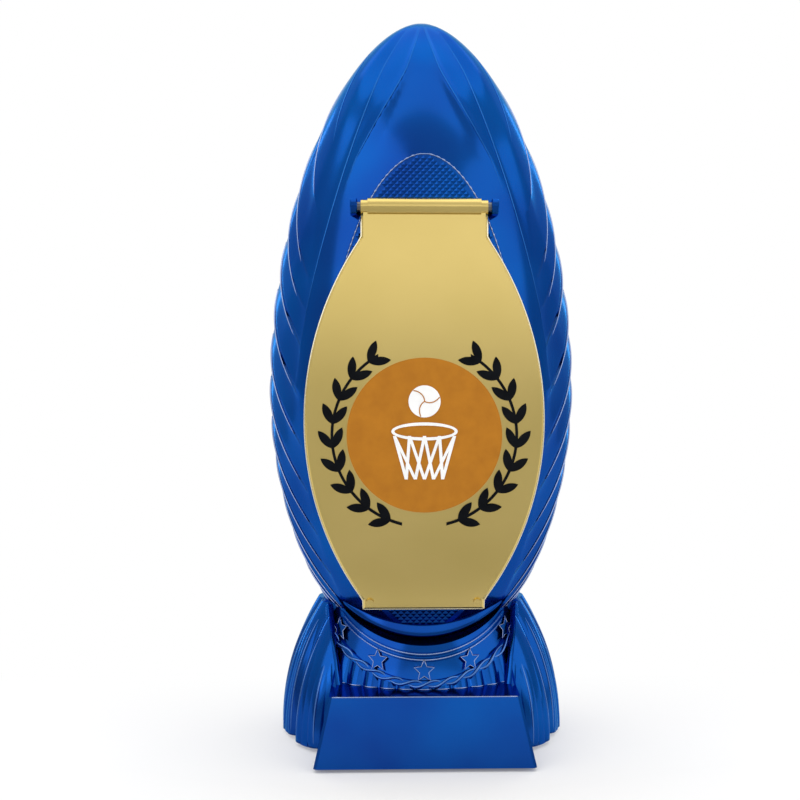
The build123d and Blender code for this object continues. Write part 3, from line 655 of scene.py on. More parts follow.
def egg_radius(z):
    """Radius of the egg at a height."""
    if z >= EGG_WIDEST_Z:
        share = min(1.0, (z - EGG_WIDEST_Z) / (EGG_TOP_Z - EGG_WIDEST_Z))
        return EGG_RADIUS * (1 - share**EGG_UPPER_POWER) ** EGG_UPPER_ROUNDING
    return EGG_RADIUS * sqrt(max(0.0, 1 - ((EGG_WIDEST_Z - z) / EGG_LOWER_REACH) ** 2))


def egg_point(angle, z, lift=0.0):
    """Point over the egg at an angle and a height, lifted along the outward normal."""
    slope = (egg_radius(z + SLOPE_PROBE) - egg_radius(z - SLOPE_PROBE)) / (2 * SLOPE_PROBE)
    across = radians(angle)
    outward = Vector((sin(across), -cos(across), -slope)).normalized()
    return around(egg_radius(z), across, z) + outward * lift


def facet_y(z):
    """Depth of the bowed facet at a height."""
    if z >= BOW_LOWER_Z:
        return BOW_Y + BOW_RADIUS - sqrt(BOW_RADIUS**2 - (z - BOW_Z) ** 2)
    meet = asin((BOW_Z - BOW_LOWER_Z) / BOW_RADIUS)
    centre_y = BOW_Y + BOW_RADIUS - (BOW_RADIUS - BOW_LOWER_RADIUS) * cos(meet)
    centre_z = BOW_Z - (BOW_RADIUS - BOW_LOWER_RADIUS) * sin(meet)
    return centre_y - sqrt(BOW_LOWER_RADIUS**2 - (z - centre_z) ** 2)


def facet_half(z):
    """Half-width of the facet at a height, or nothing beyond its tips."""
    return sqrt(max(0.0, egg_radius(z) ** 2 - facet_y(z) ** 2))


def facet_tips():
    """Heights of the facet's two tips."""
    spans = ((BOW_LOWER_Z, EGG_FLOOR_Z), (BOW_Z, EGG_TOP_Z))
    return [halved(inside, outside, lambda z: facet_half(z) > 0)[0] for inside, outside in spans]


def knurl_field():
    """Small diamond pyramids over the facet, with a flat margin and a bay round the pin."""
    points, faces = [], []
    half = KNURL_PITCH / 2
    for row in range(int((KNURL_HIGH_Z - KNURL_LOW_Z) / half)):
        z = KNURL_LOW_Z + row * half
        narrowest = min(facet_half(z - half), facet_half(z), facet_half(z + half))
        reach = narrowest - KNURL_MARGIN - half / 2
        columns = int(reach / KNURL_PITCH) + 1
        for column in range(-columns - 1, columns + 1):
            x = (column + (row % 2) / 2) * KNURL_PITCH
            in_bay = abs(x) < PIN_BAY_HALF and PIN_BAY_LOW_Z < z < PIN_BAY_HIGH_Z
            if abs(x) > reach or in_bay:
                continue
            start = len(points)
            for foot_x, foot_z in ((x - half, z), (x, z - half), (x + half, z), (x, z + half)):
                points.append(Vector((foot_x, facet_y(foot_z) - KNURL_LIFT, foot_z)))
            points.append(Vector((x, facet_y(z) - KNURL_HEIGHT, z)))
            faces += [(start + j, start + (j + 1) % 4, start + 4) for j in range(4)]
    return points, faces


def facet_border():
    """Beaded line just inside the facet's edge, up one side, over its upper tip and down the other."""
    edge = []
    for i in range(BORDER_STEPS + 1):
        share = (i / BORDER_STEPS) ** BORDER_CROWDING
        z = BORDER_HIGH_Z + (BORDER_LOW_Z - BORDER_HIGH_Z) * share
        half = facet_half(z) - BORDER_INSET
        if half > BORDER_TIP_HALF:
            edge.append(Vector((half, facet_y(z), z)))
    line = [Vector((-spot.x, spot.y, spot.z)) for spot in reversed(edge)] + edge
    radii, along = [], 0.0
    for here, after in zip(line, line[1:] + line[-1:]):
        bead = cos(pi * along / KNURL_PITCH) ** BORDER_BEAD_POWER
        radii.append(BORDER_RADIUS + BORDER_BEAD * bead)
        along += (after - here).length
    return tube(line, radii)


def neck_band():
    """Rounded band that hangs round the egg's neck under the facet and thins out at both sides."""
    rings = []
    for i in range(NECK_BAND_STEPS + 1):
        share = 2 * i / NECK_BAND_STEPS - 1
        half = NECK_BAND_HALF * (1 - NECK_BAND_THINNING * share**2)
        middle = NECK_BAND_Z + NECK_BAND_RISE * share**2
        top, low = middle + half, middle - half
        inner = egg_radius(low) - NECK_BAND_DEPTH
        upper = egg_radius(top) + NECK_BAND_PROUD - NECK_BAND_SINKING * share**2
        lower = upper + NECK_BAND_FLARE * (1 - share**2)
        section = [(inner, top - NECK_BAND_TOP_FALL)]
        section += [(upper + out, top + up) for out, up in NECK_BAND_TOP_EDGE]
        section.append(((upper + lower) / 2 + NECK_BAND_BULGE, middle))
        section += [(lower + out, low + up) for out, up in NECK_BAND_LOW_EDGE]
        section.append((inner, low))
        angle = radians(NECK_BAND_ANGLE * share)
        rings.append([around(reach, angle, z) for reach, z in section])
    return lofted(rings, turned=True)


def flute_ridges():
    """Heights at which the ridges leave the seam, from the crown down."""
    ridges = [CROWN_RIDGE_Z, FLUTE_TOP_Z]
    while ridges[-1] > FLUTE_LOW_Z:
        growth = (ridges[-1] - FLUTE_LOW_Z) * FLUTE_PITCH_GROWTH
        ridges.append(ridges[-1] - FLUTE_PITCH_LOW - growth)
    return ridges


RIDGES = flute_ridges()


def row_height(seam_z, angle):
    """Height of a row of the skin that leaves the seam at a height, at an angle from the front."""
    fall = RIDGE_FALL + RIDGE_FALL_TOP * clamp((seam_z - STEEPER_FROM_Z) / STEEPER_OVER)
    top_ease = min(1.0, (EGG_TOP_Z - seam_z) / TOP_EASE)
    floor_ease = min(1.0, (seam_z - EGG_FLOOR_Z) / FLOOR_EASE)
    return seam_z - fall * (top_ease * floor_ease) * min(SEAM_ANGLE - angle, RIDGE_REACH)


def seam_height(front_z):
    """Height at the seam of the row that crosses the front at a height."""
    low, high = halved(EGG_FLOOR_Z, EGG_TOP_Z, lambda z: row_height(z, 0.0) < front_z)
    return (low + high) / 2


def away_from_seam(angle):
    """Rises from 0 beside the seam to 1 a little way round from it."""
    return clamp((BESIDE_SEAM_ANGLE - angle) / BESIDE_SEAM_WIDTH)


def step_profile(share):
    """Depth across a flute or a step, up to 1: steep at first, rising slowly after that."""
    return share**STEP_RISE_POWER * (1 - share) ** STEP_FALL_POWER / STEP_PEAK


def flute_dip(seam_z, angle):
    """Depth of the flutes: steep under each ridge, rising slowly to the next one, fading to the front."""
    fade = clamp((angle - FLUTE_FADE_ANGLE) / FLUTE_FADE_WIDTH)
    for high, low in zip(RIDGES, RIDGES[1:]):
        if low < seam_z <= high:
            at_seam = clamp((CROWN_FADE_Z - high) / CROWN_FADE)
            further = at_seam + (CROWN_DEPTH - at_seam) * away_from_seam(angle)
            depth = FLUTE_DEPTH * max(at_seam, further)
            return depth * step_profile((high - seam_z) / (high - low)) * fade * (2 - fade)
    return 0.0


def angle_along(line, z):
    """Angle of a crown line at a height, held at its ends."""
    if z >= line[0][0]:
        return line[0][1]
    for start, end in zip(line, line[1:]):
        if z >= end[0]:
            return start[1] + (end[1] - start[1]) * (start[0] - z) / (start[0] - end[0])
    return line[-1][1]


def crown_rise(z, angle):
    """Relief of the crown: a step down outside the arch's edge and a soft fold inside it."""
    share = clamp((angle - angle_along(ARCH_EDGE, z)) / ARCH_STEP_WIDTH)
    top_ease = clamp((ARCH_TOP_Z - z) / ARCH_TOP_EASE)
    low_ease = clamp((z - ARCH_EDGE[-1][0]) / ARCH_LOW_EASE)
    step = ARCH_STEP * step_profile(share) * top_ease * low_ease
    fold_top = clamp((ARCH_FOLD[0][0] - z) / FOLD_TOP_EASE)
    fold_low = clamp((z - ARCH_FOLD[-1][0]) / FOLD_LOW_EASE)
    away = (angle - angle_along(ARCH_FOLD, z)) / FOLD_WIDTH
    return FOLD_HEIGHT * (fold_top * fold_low) * exp(-(away**2)) - step


def skin_rows():
    """Seam heights of the skin's rows: close under each ridge, at the facet's tips and at the pin's groove."""
    crown = EGG_TOP_Z - CROWN_RIDGE_Z
    rows = [EGG_TOP_Z - crown * (i / CROWN_ROWS) ** CROWN_CROWDING for i in range(CROWN_ROWS)]
    for high, low in zip(RIDGES, RIDGES[1:]):
        finer = 2 if high > FINER_ROWS_Z else 1
        for share, after in zip(ROW_SHARES, ROW_SHARES[1:] + (1.0,)):
            rows += [high - (high - low) * (share + (after - share) * k / finer) for k in range(finer)]
    foot = RIDGES[-1] - EGG_FLOOR_Z
    rows += [RIDGES[-1] - foot * i / FOOT_ROWS for i in range(FOOT_ROWS)]
    rows.append(EGG_FLOOR_Z + FLOOR_GAP)
    low_tip, high_tip = facet_tips()
    for inset in TIP_INSETS:
        rows.append(seam_height(low_tip + inset))
        rows.append(seam_height(high_tip - inset))
    rows += [seam_height(PIN_Z + step) for step in PIN_ROW_STEPS]
    return sorted(set(rows), reverse=True)


def skin_angles(arch, end):
    """Angles of a row's columns, from the seam past the arch's edge to where the row ends."""
    outer, inner = arch + NEAR_EDGE[0], arch + NEAR_EDGE[-1]
    angles = list(SEAM_ANGLES)
    angles += [OUTER_ANGLE - (OUTER_ANGLE - outer) * i / OUTER_COLUMNS for i in range(OUTER_COLUMNS)]
    angles += [arch + away for away in NEAR_EDGE]
    angles += [inner - (inner - end) * i / INNER_COLUMNS for i in range(1, INNER_COLUMNS + 1)]
    return angles


def facet_places(z, half):
    """Places across the facet at a height, with the groove behind the pin cut in."""
    shares = [-share for share in reversed(FACET_SHARES[1:])] + list(FACET_SHARES)
    in_groove = abs(z - PIN_Z) < GROOVE_RADIUS
    groove_y = PIN_Y + sqrt(max(0.0, GROOVE_RADIUS**2 - (z - PIN_Z) ** 2))
    places = []
    for share in shares:
        cut = in_groove and abs(share) < 1
        places.append((share * half, max(facet_y(z), groove_y) if cut else facet_y(z), z))
    return places


def egg_skin(front):
    """Points, faces and sharp edges of one half of the egg: swept flutes, crown folds and, in front, the facet."""
    facing = 1 if front else -1
    points, known, faces, sharp = [], {}, [], set()

    def index_of(x, y, z):
        key = tuple(round(value, SAME_PLACE_DIGITS) for value in (x, y, z))
        if key not in known:
            known[key] = len(points)
            points.append(Vector((x, facing * y, z)))
        return known[key]

    def skin_index(seam_z, angle, side):
        z = row_height(seam_z, angle)
        at_seam = clamp(1 - (SEAM_ANGLE - angle) / SEAM_GROOVE_WIDTH)
        groove = SEAM_GROOVE * at_seam * clamp((EGG_TOP_Z - z) / SEAM_GROOVE_EASE)
        lift = (crown_rise(z, angle) if front else 0.0) - flute_dip(seam_z, angle) - groove
        spot = egg_point(angle, z, lift)
        return index_of(side * spot.x, spot.y, spot.z)

    def add_face(corners):
        loop = [corner for i, corner in enumerate(corners) if corner != corners[i - 1]]
        if len(loop) > 2:
            faces.append(tuple(loop))

    low_tip, high_tip = facet_tips()
    grid, facet = {side: [] for side in SIDES}, []
    for seam_z in skin_rows():
        z = row_height(seam_z, 0.0)
        on_facet = front and low_tip < z < high_tip
        half = facet_half(z) if on_facet else 0.0
        end = degrees(asin(half / egg_radius(z))) if on_facet else 0.0
        angles = skin_angles(angle_along(ARCH_EDGE, z), end)
        end_y = facet_y(z) if on_facet else -egg_radius(z)
        for side in SIDES:
            row = [skin_index(seam_z, angle, side) for angle in angles[:-1]]
            grid[side].append(row + [index_of(side * half, end_y, z)])
        facet.append([index_of(*spot) for spot in facet_places(z, half)] if on_facet else None)
    for side in SIDES:
        for upper, lower in zip(grid[side], grid[side][1:]):
            for i in range(len(upper) - 1):
                corners = (upper[i], lower[i], lower[i + 1], upper[i + 1])
                add_face(corners if side * facing < 0 else corners[::-1])
    for i, (upper, lower) in enumerate(zip(facet, facet[1:])):
        if upper is None and lower is None:
            continue
        width = len(upper or lower)
        upper = upper or [grid[-1][i][-1]] * width
        lower = lower or [grid[-1][i + 1][-1]] * width
        for j in range(width - 1):
            add_face((upper[j], lower[j], lower[j + 1], upper[j + 1]))
        sharp.add(frozenset((upper[0], lower[0])))
        sharp.add(frozenset((upper[-1], lower[-1])))
    return points, faces, sharp


def ridge_crest(seam_z, side, facing):
    """Fine crest along one ridge, thinning out away from the seam, that carries a painted highlight."""
    path, radii = [], []
    for i in range(CREST_STEPS + 1):
        share = i / CREST_STEPS
        angle = CREST_START_ANGLE - (CREST_START_ANGLE - CREST_END_ANGLE) * share
        spot = egg_point(angle, row_height(seam_z, angle))
        path.append(Vector((side * spot.x, facing * spot.y, spot.z)))
        grown = min(1.0, CREST_START + CREST_GROWTH * share)
        if seam_z == CROWN_RIDGE_Z:
            grown = away_from_seam(angle)
        radii.append(CREST_END + CREST_RADIUS * (1 - share) ** CREST_TAPER * grown)
    return tube(path, radii)


def ridge_crests():
    """Such crests on both sides of the egg, in front of the seam and behind it."""
    places = [(seam_z, side, facing) for seam_z in RIDGES for side in SIDES for facing in SIDES]
    return joined([ridge_crest(*where) for where in places])


def arch_crests():
    """Fine lines along the crown's arch and the folds beside it, thinning out at both ends."""
    parts = []
    for line, thickness in ARCH_LINES:
        high = min(line[0][0], ARCH_CREST_TOP_Z)
        low = max(line[-1][0], ARCH_CREST_LOW_Z)
        for side in SIDES:
            path, radii = [], []
            for i in range(ARCH_CREST_STEPS + 1):
                share = i / ARCH_CREST_STEPS
                z = high + (low - high) * share
                angle = angle_along(line, z)
                path.append(egg_point(side * angle, z, crown_rise(z, angle)))
                radii.append(swelling(share, ARCH_CREST_END, thickness, ARCH_CREST_TAPER))
            parts.append(tube(path, radii))
    return joined(parts)


def circle_through(first, second, third):
    """Centre and radius of the circle through three points of a plane."""
    (ax, ay), (bx, by), (cx, cy) = first, second, third
    a, b, c = ax**2 + ay**2, bx**2 + by**2, cx**2 + cy**2
    across = 2 * (ax * (by - cy) + bx * (cy - ay) + cx * (ay - by))
    x = (a * (by - cy) + b * (cy - ay) + c * (ay - by)) / across
    y = (a * (cx - bx) + b * (ax - cx) + c * (bx - ax)) / across
    return x, y, sqrt((ax - x) ** 2 + (ay - y) ** 2)


def plate_edges():
    """Rim line of the plate, which carries a painted highlight: down one side, along the lip and up the other."""
    centre_x, centre_z, radius = circle_through(PLATE_NECK, PLATE_WIDEST, PLATE_FOOT)
    (neck_x, neck_z), (foot_x, foot_z) = PLATE_NECK, PLATE_FOOT
    lip_z = PLATE_LOW_Z + PLATE_LIP_LIFT
    line = [(neck_x, PLATE_RIM_TOP_Z)] + [(neck_x, neck_z + rise) for rise in PLATE_SHOULDERS]
    for i in range(1, PLATE_SIDE_STEPS):
        z = neck_z + (foot_z - neck_z) * i / PLATE_SIDE_STEPS
        line.append((centre_x + sqrt(radius**2 - (z - centre_z) ** 2), z))
    line += [(foot_x, foot_z - PLATE_FOOT_FALL), (foot_x, PLATE_LOW_Z + PLATE_CORNER)]
    line.append((foot_x - PLATE_CORNER, lip_z))
    line += [(foot_x * (1 - i / PLATE_LIP_STEPS), lip_z) for i in range(1, PLATE_LIP_STEPS + 1)]
    line += [(-x, z) for x, z in reversed(line[:-1])]
    path = [Vector((x, facet_y(z) - PLATE_RIM_DEPTH, z)) for x, z in line]
    return tube(path, [PLATE_RIM] * len(path), ROUND_SIDES)


def ball_seams():
    """Three curved panel seams on the emblem's ball."""
    parts = []
    for turn in SEAM_TURNS:
        path = []
        for i in range(SEAM_STEPS + 1):
            share = i / SEAM_STEPS
            reach = BALL_RADIUS * SEAM_REACH * share
            angle = radians(turn + SEAM_CURL * share)
            z = BALL_Z + reach * sin(angle)
            path.append(Vector((reach * cos(angle), facet_y(z) - FILM_FRONT, z)))
        parts.append(tube(path, [SEAM_RADIUS] * len(path), ROUND_SIDES))
    return joined(parts)


def lug(side):
    """Rounded lug with a bore for the pin, standing on the facet's edge."""
    rings = []
    turns = [2 * pi * i / LUG_STEPS for i in range(LUG_STEPS)]
    back = facet_y(PIN_Z) - PIN_Y + LUG_SINK
    inner, outer = LUG_INNER_X, LUG_OUTER_X
    for x, inset in ((inner, LUG_EDGE), (inner + LUG_EDGE, 0.0), (outer - LUG_EDGE, 0.0), (outer, LUG_EDGE)):
        ring = []
        for turn in turns:
            y, z = -cos(turn), sin(turn)
            reach = LUG_FRONT if y < 0 else back / max(y, TINY)
            reach = min(reach, LUG_HALF / max(abs(z), TINY)) - inset
            ring.append(Vector((side * x, PIN_Y + reach * y, PIN_Z + reach * z)))
        rings.append(ring)
    for x in (outer, inner):
        bore = [(PIN_Y - PIN_BORE * cos(turn), PIN_Z + PIN_BORE * sin(turn)) for turn in turns]
        rings.append([Vector((side * x, y, z)) for y, z in bore])
    faces = []
    for ring in range(len(rings)):
        here, there = ring * LUG_STEPS, (ring + 1) % len(rings) * LUG_STEPS
        for i in range(LUG_STEPS):
            after = (i + 1) % LUG_STEPS
            corners = (here + i, here + after, there + after, there + i)
            faces.append(corners if side < 0 else corners[::-1])
    return [point for ring in rings for point in ring], faces


def bell_arc(foot_radius):
    """Radius of the bell's profile over a foot, and the distance of its centre from the axis."""
    drop = foot_radius - BELL_TOP_RADIUS
    radius = (drop**2 + BELL_HEIGHT**2) / (2 * drop)
    return radius, foot_radius - radius


def panel_point(x, z, lift):
    """Point over the smooth front panel of the base at a distance from the middle and a height."""
    radius, centre = bell_arc(BELL_FOOT_RADIUS)
    reach = centre + sqrt((radius - PANEL_INSET + lift) ** 2 - (z - BELL_FOOT_Z) ** 2)
    return Vector((x, -sqrt(reach**2 - x**2), z))


def panel_half(z):
    """Half-width of the front panel at a height."""
    return PANEL_FOOT_HALF + (PANEL_TOP_HALF - PANEL_FOOT_HALF) * ((z - BELL_FOOT_Z) / BELL_HEIGHT)


def curtain_hems():
    """Rounded hems where the pleats end beside the front panel, thicker towards the foot."""
    parts = []
    for side in SIDES:
        path, radii = [], []
        for i in range(HEM_STEPS + 1):
            share = i / HEM_STEPS
            z = BELL_TOP_Z - HEM_TOP_GAP + (HEM_LOW_Z - BELL_TOP_Z) * share
            path.append(panel_point(side * panel_half(z), z, PANEL_INSET - HEM_SINK))
            radii.append(HEM_RADIUS * (HEM_TOP_SHARE + HEM_GROWTH * share))
        parts.append(tube(path, radii, HEM_SIDES))
    return joined(parts)


def pleat_line(pleat, side, depth_at):
    """Line up one side of a pleat to its top or the panel, at depths under it that a function gives."""
    angle = radians((pleat + 0.5) * 360 / PLEAT_COUNT)
    flare = 1 + PLEAT_FRONT_FLARE * max(0.0, cos(angle)) ** 2
    radius, centre = bell_arc(BELL_FOOT_RADIUS * flare)
    core_radius = radius - PLEAT_RADIUS
    tangent = Vector((cos(angle), sin(angle), 0))
    spots = []
    for i in range(PLEAT_STEPS + 1):
        share = i / PLEAT_STEPS
        climb = asin((PLEAT_FOLD_FOOT + (BELL_HEIGHT - PLEAT_FOLD_TOP) * share) / radius)
        core_z = BELL_FOOT_Z + core_radius * sin(climb)
        core = around(centre + core_radius * cos(climb), angle, core_z)
        turn = side * radians(PLEAT_FOLD_ANGLE) * (1 - PLEAT_FOLD_CLOSING * share)
        normal = around(cos(climb), angle, sin(climb)) * cos(turn) + tangent * sin(turn)
        surface = core + normal * PLEAT_RADIUS
        if surface.y < 0 and abs(surface.x) < panel_half(surface.z) + PLEAT_FOLD_MARGIN:
            break
        spots.append((surface, normal))
    last = max(1, len(spots) - 1)
    return [surface - normal * depth_at(i / last) for i, (surface, normal) in enumerate(spots)]


def pleat_lines(depth_at):
    """Such lines on both sides of all pleats, without those that the panel cuts short."""
    lines = [pleat_line(pleat, side, depth_at) for pleat in range(PLEAT_COUNT) for side in SIDES]
    return [line for line in lines if len(line) > PLEAT_STEPS / 2]


def pleat_proud(share):
    """How far a fold of a pleat stands out along its course: full at the foot, sunk at the top."""
    return PLEAT_FOLD_PROUD * (1 - PLEAT_FOLD_SINKING * share**PLEAT_FOLD_SINKING_POWER)


def pleat_folds():
    """Two rounded folds up each pleat of the base, which sink into it towards the top."""
    paths = pleat_lines(lambda share: PLEAT_FOLD_RADIUS - pleat_proud(share))
    return joined([tube(path, [PLEAT_FOLD_RADIUS] * len(path), FOLD_SIDES) for path in paths])


def pleat_crests():
    """Fine crests on the folds of the pleats, thinning out at both ends, that carry a painted highlight."""
    parts = []
    for path in pleat_lines(lambda share: PLEAT_CREST_SINK - pleat_proud(share)):
        shares = [i / (len(path) - 1) for i in range(len(path))]
        look = (PLEAT_CREST_END, PLEAT_CREST, PLEAT_CREST_TAPER)
        parts.append(tube(path, [swelling(share, *look) for share in shares]))
    return joined(parts)


def sag_radius(centre_z, end_x, end_z):
    """Radius of an arc that hangs between two ends."""
    rise = end_z - centre_z
    return (end_x**2 + rise**2) / (2 * rise)


def sag_height(centre_z, radius, x):
    """Height of a hanging arc at a distance from the middle."""
    return centre_z + radius - sqrt(radius**2 - x**2)


RIM_SAG = sag_radius(RIM_CENTRE_Z, RIM_END_X, RIM_END_Z)
CHAIN_SAG = sag_radius(CHAIN_CENTRE_Z, CHAIN_END_X, CHAIN_END_Z)


def swag_line(offset):
    """One of the swag's hanging lines, at a distance over their middle."""
    path, radii = [], []
    for i in range(RIM_STEPS + 1):
        share = i / RIM_STEPS
        x = RIM_END_X * RIM_SHOWN * (2 * share - 1)
        path.append(panel_point(x, sag_height(RIM_CENTRE_Z + offset, RIM_SAG, x), RIM_PROUD))
        radii.append(swelling(share, EDGE_END, EDGE_RADIUS, EDGE_TAPER))
    return tube(path, radii)


def star_edge(star):
    """Outline of a star between the hanging lines and the chain, counted from the middle."""
    reach = -panel_point(0.0, (RIM_CENTRE_Z + CHAIN_CENTRE_Z) / 2, 0.0).y
    angle = radians(star * STAR_STEP_ANGLE)
    x = reach * sin(angle)
    z = (sag_height(RIM_CENTRE_Z, RIM_SAG, x) + sag_height(CHAIN_CENTRE_Z, CHAIN_SAG, x)) / 2
    path = []
    for corner in range(STAR_CORNERS + 1):
        out = STAR_RADIUS if corner % 2 == 0 else STAR_RADIUS * STAR_WAIST
        turn = radians(360 / STAR_CORNERS * corner)
        path.append(panel_point(x + out * sin(turn) * cos(angle), z + out * cos(turn), STAR_PROUD))
    return tube(path, [STAR_EDGE] * len(path))


def fringe_end(strand):
    """Rounded end of a strand of the fringe on the ledge, counted from the middle."""
    foot = -panel_point(0.0, LEDGE_Z, 0.0).y
    angle = radians(strand * FRINGE_STEP_ANGLE)
    path, radii = [], []
    for i in range(FRINGE_STEPS + 1):
        share = i / FRINGE_STEPS
        turn = radians(FRINGE_SHOWN_ANGLE * (2 * share - 1))
        out = foot - FRINGE_SINK + FRINGE_RADIUS * cos(turn)
        along = FRINGE_RADIUS * sin(turn)
        x = out * sin(angle) + along * cos(angle)
        y = -out * cos(angle) + along * sin(angle)
        path.append(Vector((x, y, LEDGE_Z + FRINGE_LIFT)))
        radii.append(swelling(share, EDGE_END, EDGE_RADIUS, EDGE_TAPER))
    return tube(path, radii)


def block_edge():
    """Line along the front edge of the block's top, which carries a painted highlight."""
    z = LEDGE_Z - BLOCK_EDGE_SINK
    shares = [2 * i / BLOCK_EDGE_STEPS - 1 for i in range(BLOCK_EDGE_STEPS + 1)]
    path = [Vector((BLOCK_EDGE_HALF * share, BLOCK_EDGE_Y, z)) for share in shares]
    return tube(path, [EDGE_RADIUS] * len(path), ROUND_SIDES)


def base_highlight_lines():
    """Lines on the base's relief that carry painted highlights: the swag's lines, the stars, the fringe's ends,
    the block.
    """
    parts = [swag_line(offset) for offset in (-RIM_SPACING / 2, RIM_SPACING / 2)]
    parts += [star_edge(star) for star in range(-STARS_BESIDE, STARS_BESIDE + 1)]
    parts += [fringe_end(strand) for strand in range(-FRINGE_BESIDE, FRINGE_BESIDE + 1)]
    return joined(parts + [block_edge()])


def swag_chain():
    """Twisted chain on the swag: two strands that cross between long links."""
    sweep = asin(CHAIN_END_X / CHAIN_SAG)
    steps = CHAIN_LINK_STEPS * CHAIN_LINKS
    parts = []
    for strand in SIDES:
        path = []
        for i in range(steps + 1):
            share = i / steps
            angle = sweep * (2 * share - 1)
            turn = pi * CHAIN_LINKS * share
            radius = CHAIN_SAG - strand * CHAIN_HALF_WIDTH * sin(turn)
            z = CHAIN_CENTRE_Z + CHAIN_SAG - radius * cos(angle)
            lift = CHAIN_LIFT + strand * CHAIN_TWIST * cos(turn)
            path.append(panel_point(radius * sin(angle), z, lift))
        parts.append(tube(path, [CHAIN_STRAND] * len(path), ROUND_SIDES))
    return joined(parts)


mesh_piece("knurled_field", knurl_field(), "blue_plating", smooth=False)
mesh_piece("neck_band", neck_band(), "blue_plating")
# The facet's beaded border is in the pale copy of the blue plating: a painted highlight
mesh_piece("facet_border", facet_border(), "blue_plating", "painted_highlight_pale")
for name, node in (("front_skin", "front_shell"), ("rear_skin", "rear_shell")):
    points, faces, sharp = egg_skin(node == "front_shell")
    piece = mesh_piece(name, (points, faces), "blue_plating")
    for edge in piece.data.edges:
        edge.use_edge_sharp = frozenset(edge.vertices) in sharp
    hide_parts(node)
mesh_piece("pin_lugs", joined([lug(side) for side in SIDES]), "blue_plating", smooth=False)
# The ridge crests and the crown's lines are in lighter copies of the plating: painted highlights
mesh_piece("ridge_crests", ridge_crests(), "blue_plating", "painted_highlight_pale")
mesh_piece("arch_crests", arch_crests(), "blue_plating", "painted_highlight_soft")
# The plate's rim line is in a pale copy of the gold: a painted highlight
mesh_piece("plate_edges", plate_edges(), "gold_plating", "painted_highlight_gold", body="plate")
mesh_piece("ball_seams", ball_seams(), "orange_film", body="plate")
mesh_piece("curtain_hems", curtain_hems(), "blue_plating")
mesh_piece("pleat_folds", pleat_folds(), "blue_plating")
# The pleat crests are in a lighter copy of the blue plating: a painted highlight
mesh_piece("pleat_crests", pleat_crests(), "blue_plating", "painted_highlight_mid")
# The base's relief lines are in the pale copy of the blue plating: painted highlights
mesh_piece("base_highlight_lines", base_highlight_lines(), "blue_plating", "painted_highlight_pale")
# The chain is in a lighter copy of the blue plating: a painted highlight
mesh_piece("swag_chain", swag_chain(), "blue_plating", "painted_highlight_mid")


def softbox(name, place_mm, aim_z, size_mm, watts):
    """A rectangular lamp aimed at a point on the axis."""
    data = bpy.data.lights.new(name, "AREA")
    data.shape = "RECTANGLE"
    data.size, data.size_y = size_mm[0] * MM, size_mm[1] * MM
    data.energy = watts
    lamp = bpy.data.objects.new(name, data)
    lamp.location = Vector(place_mm) * MM
    aim = Vector((0, 0, aim_z)) - Vector(place_mm)
    lamp.rotation_euler = aim.to_track_quat("-Z", "Y").to_euler()
    bpy.context.scene.collection.objects.link(lamp)


def studio_world():
    """Sweep that is brighter above and behind, and that the camera sees as white."""
    world = bpy.data.worlds.new("studio")
    bpy.context.scene.world = world
    world.use_nodes = True
    tree = world.node_tree
    background = tree.nodes["Background"]
    where = tree.nodes.new("ShaderNodeTexCoord")
    split = tree.nodes.new("ShaderNodeSeparateXYZ")
    link(tree, where, "Generated", split, "Vector")
    height = spread(tree, split, "Z", *SKY_BY_HEIGHT)
    behind = spread(tree, split, "Y", *SKY_BEHIND)
    level = combine(tree, "ADD", height, "Result", behind, "Result")
    sweep = ramp(tree, level, "Value", BLACK, WHITE, 0.0, 1.0)
    path = tree.nodes.new("ShaderNodeLightPath")
    seen = tree.nodes.new("ShaderNodeMix")
    seen.data_type = "RGBA"
    first, second, result = MIX_COLOURS
    link(tree, path, "Is Camera Ray", seen, "Factor")
    link(tree, sweep, "Color", seen, first)
    seen.inputs[second].default_value = (*WHITE, 1.0)
    link(tree, seen, result, background, "Color")
    background.inputs["Strength"].default_value = 1.0


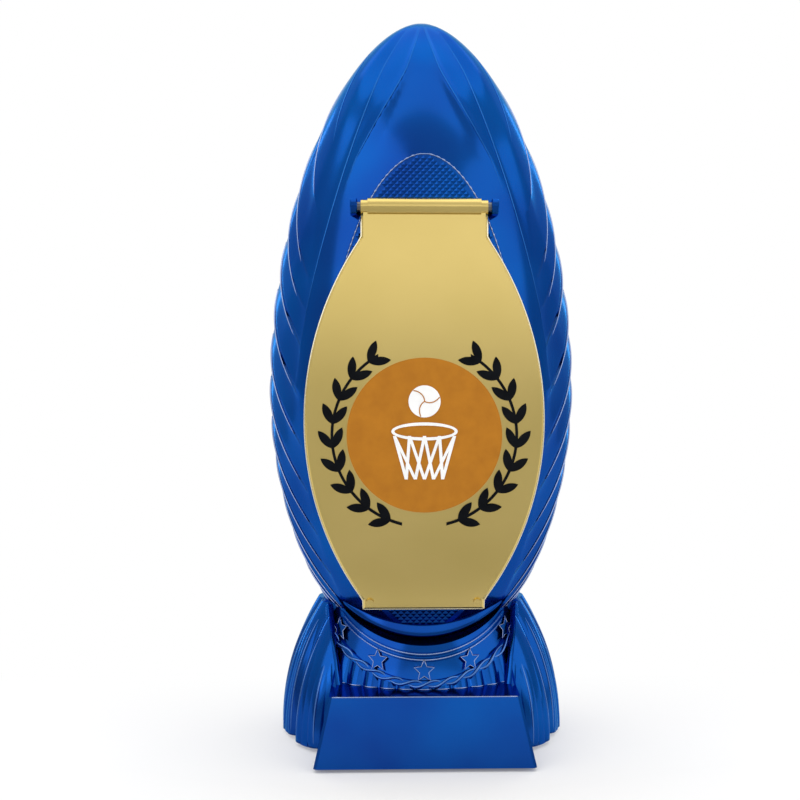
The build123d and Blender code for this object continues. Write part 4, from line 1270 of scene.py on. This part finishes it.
def floor_material():
    """Pale floor that turns white far out and behind, and darker in front in mirrored light."""
    material, tree, shader = node_material("floor_white")
    shader.inputs["Roughness"].default_value = FLOOR_ROUGHNESS
    where = place(tree)
    path = tree.nodes.new("ShaderNodeLightPath")
    split = tree.nodes.new("ShaderNodeSeparateXYZ")
    link(tree, where, "Vector", split, "Vector")
    mirrored = spread(tree, split, "Y", FLOOR_MIRRORED, FLOOR_PALE, FLOOR_MIRRORED_Y, FLOOR_PALE_Y)
    seen = tree.nodes.new("ShaderNodeMix")
    first, second, result = MIX_NUMBERS
    link(tree, path, "Is Glossy Ray", seen, "Factor")
    seen.inputs[first].default_value = FLOOR_PALE
    link(tree, mirrored, "Result", seen, second)
    link(tree, seen, result, shader, "Base Color")
    reach = tree.nodes.new("ShaderNodeVectorMath")
    reach.operation = "LENGTH"
    link(tree, where, "Vector", reach, 0)
    far = spread(tree, reach, "Value", 0.0, 1.0, FLOOR_SHADOW, FLOOR_WHITE)
    shown = combine(tree, "MULTIPLY", far, "Result", path, "Is Camera Ray")
    behind = spread(tree, split, "Y", 0.0, 1.0, FLOOR_GREY_Y, FLOOR_WHITE_Y)
    whiteness = combine(tree, "MAXIMUM", shown, "Value", behind, "Result")
    white = tree.nodes.new("ShaderNodeEmission")
    blend = tree.nodes.new("ShaderNodeMixShader")
    link(tree, whiteness, "Value", blend, 0)
    link(tree, shader, "BSDF", blend, 1)
    link(tree, white, "Emission", blend, 2)
    link(tree, blend, "Shader", tree.nodes["Material Output"], "Surface")
    return material


def floor_piece():
    """Wide flat floor under the object."""
    mesh = bpy.data.meshes.new("floor")
    half = FLOOR_HALF * MM
    corners = [(-half, -half, 0), (half, -half, 0), (half, half, 0), (-half, half, 0)]
    mesh.from_pydata(corners, [], [(0, 1, 2, 3)])
    mesh.materials.append(floor_material())
    floor = bpy.data.objects.new("floor", mesh)
    bpy.context.scene.collection.objects.link(floor)


def camera_piece():
    """Level camera at the photograph's distance and side."""
    data = bpy.data.cameras.new("camera")
    data.lens = LENS_MM
    data.sensor_width = SENSOR_MM
    data.shift_x = AXIS_SHIFT
    data.clip_start = CLIP_START_M
    camera = bpy.data.objects.new("camera", data)
    yaw = radians(CAMERA_YAW_DEG)
    camera.location = (
        -CAMERA_DISTANCE * sin(yaw) * MM,
        -CAMERA_DISTANCE * cos(yaw) * MM,
        CAMERA_HEIGHT * MM,
    )
    camera.rotation_euler = (pi / 2, 0, -yaw)
    bpy.context.scene.collection.objects.link(camera)
    bpy.context.scene.camera = camera


studio_world()
floor_piece()
camera_piece()
for lamp in LAMPS:
    softbox(*lamp)
bpy.context.scene.view_settings.view_transform = "Standard"
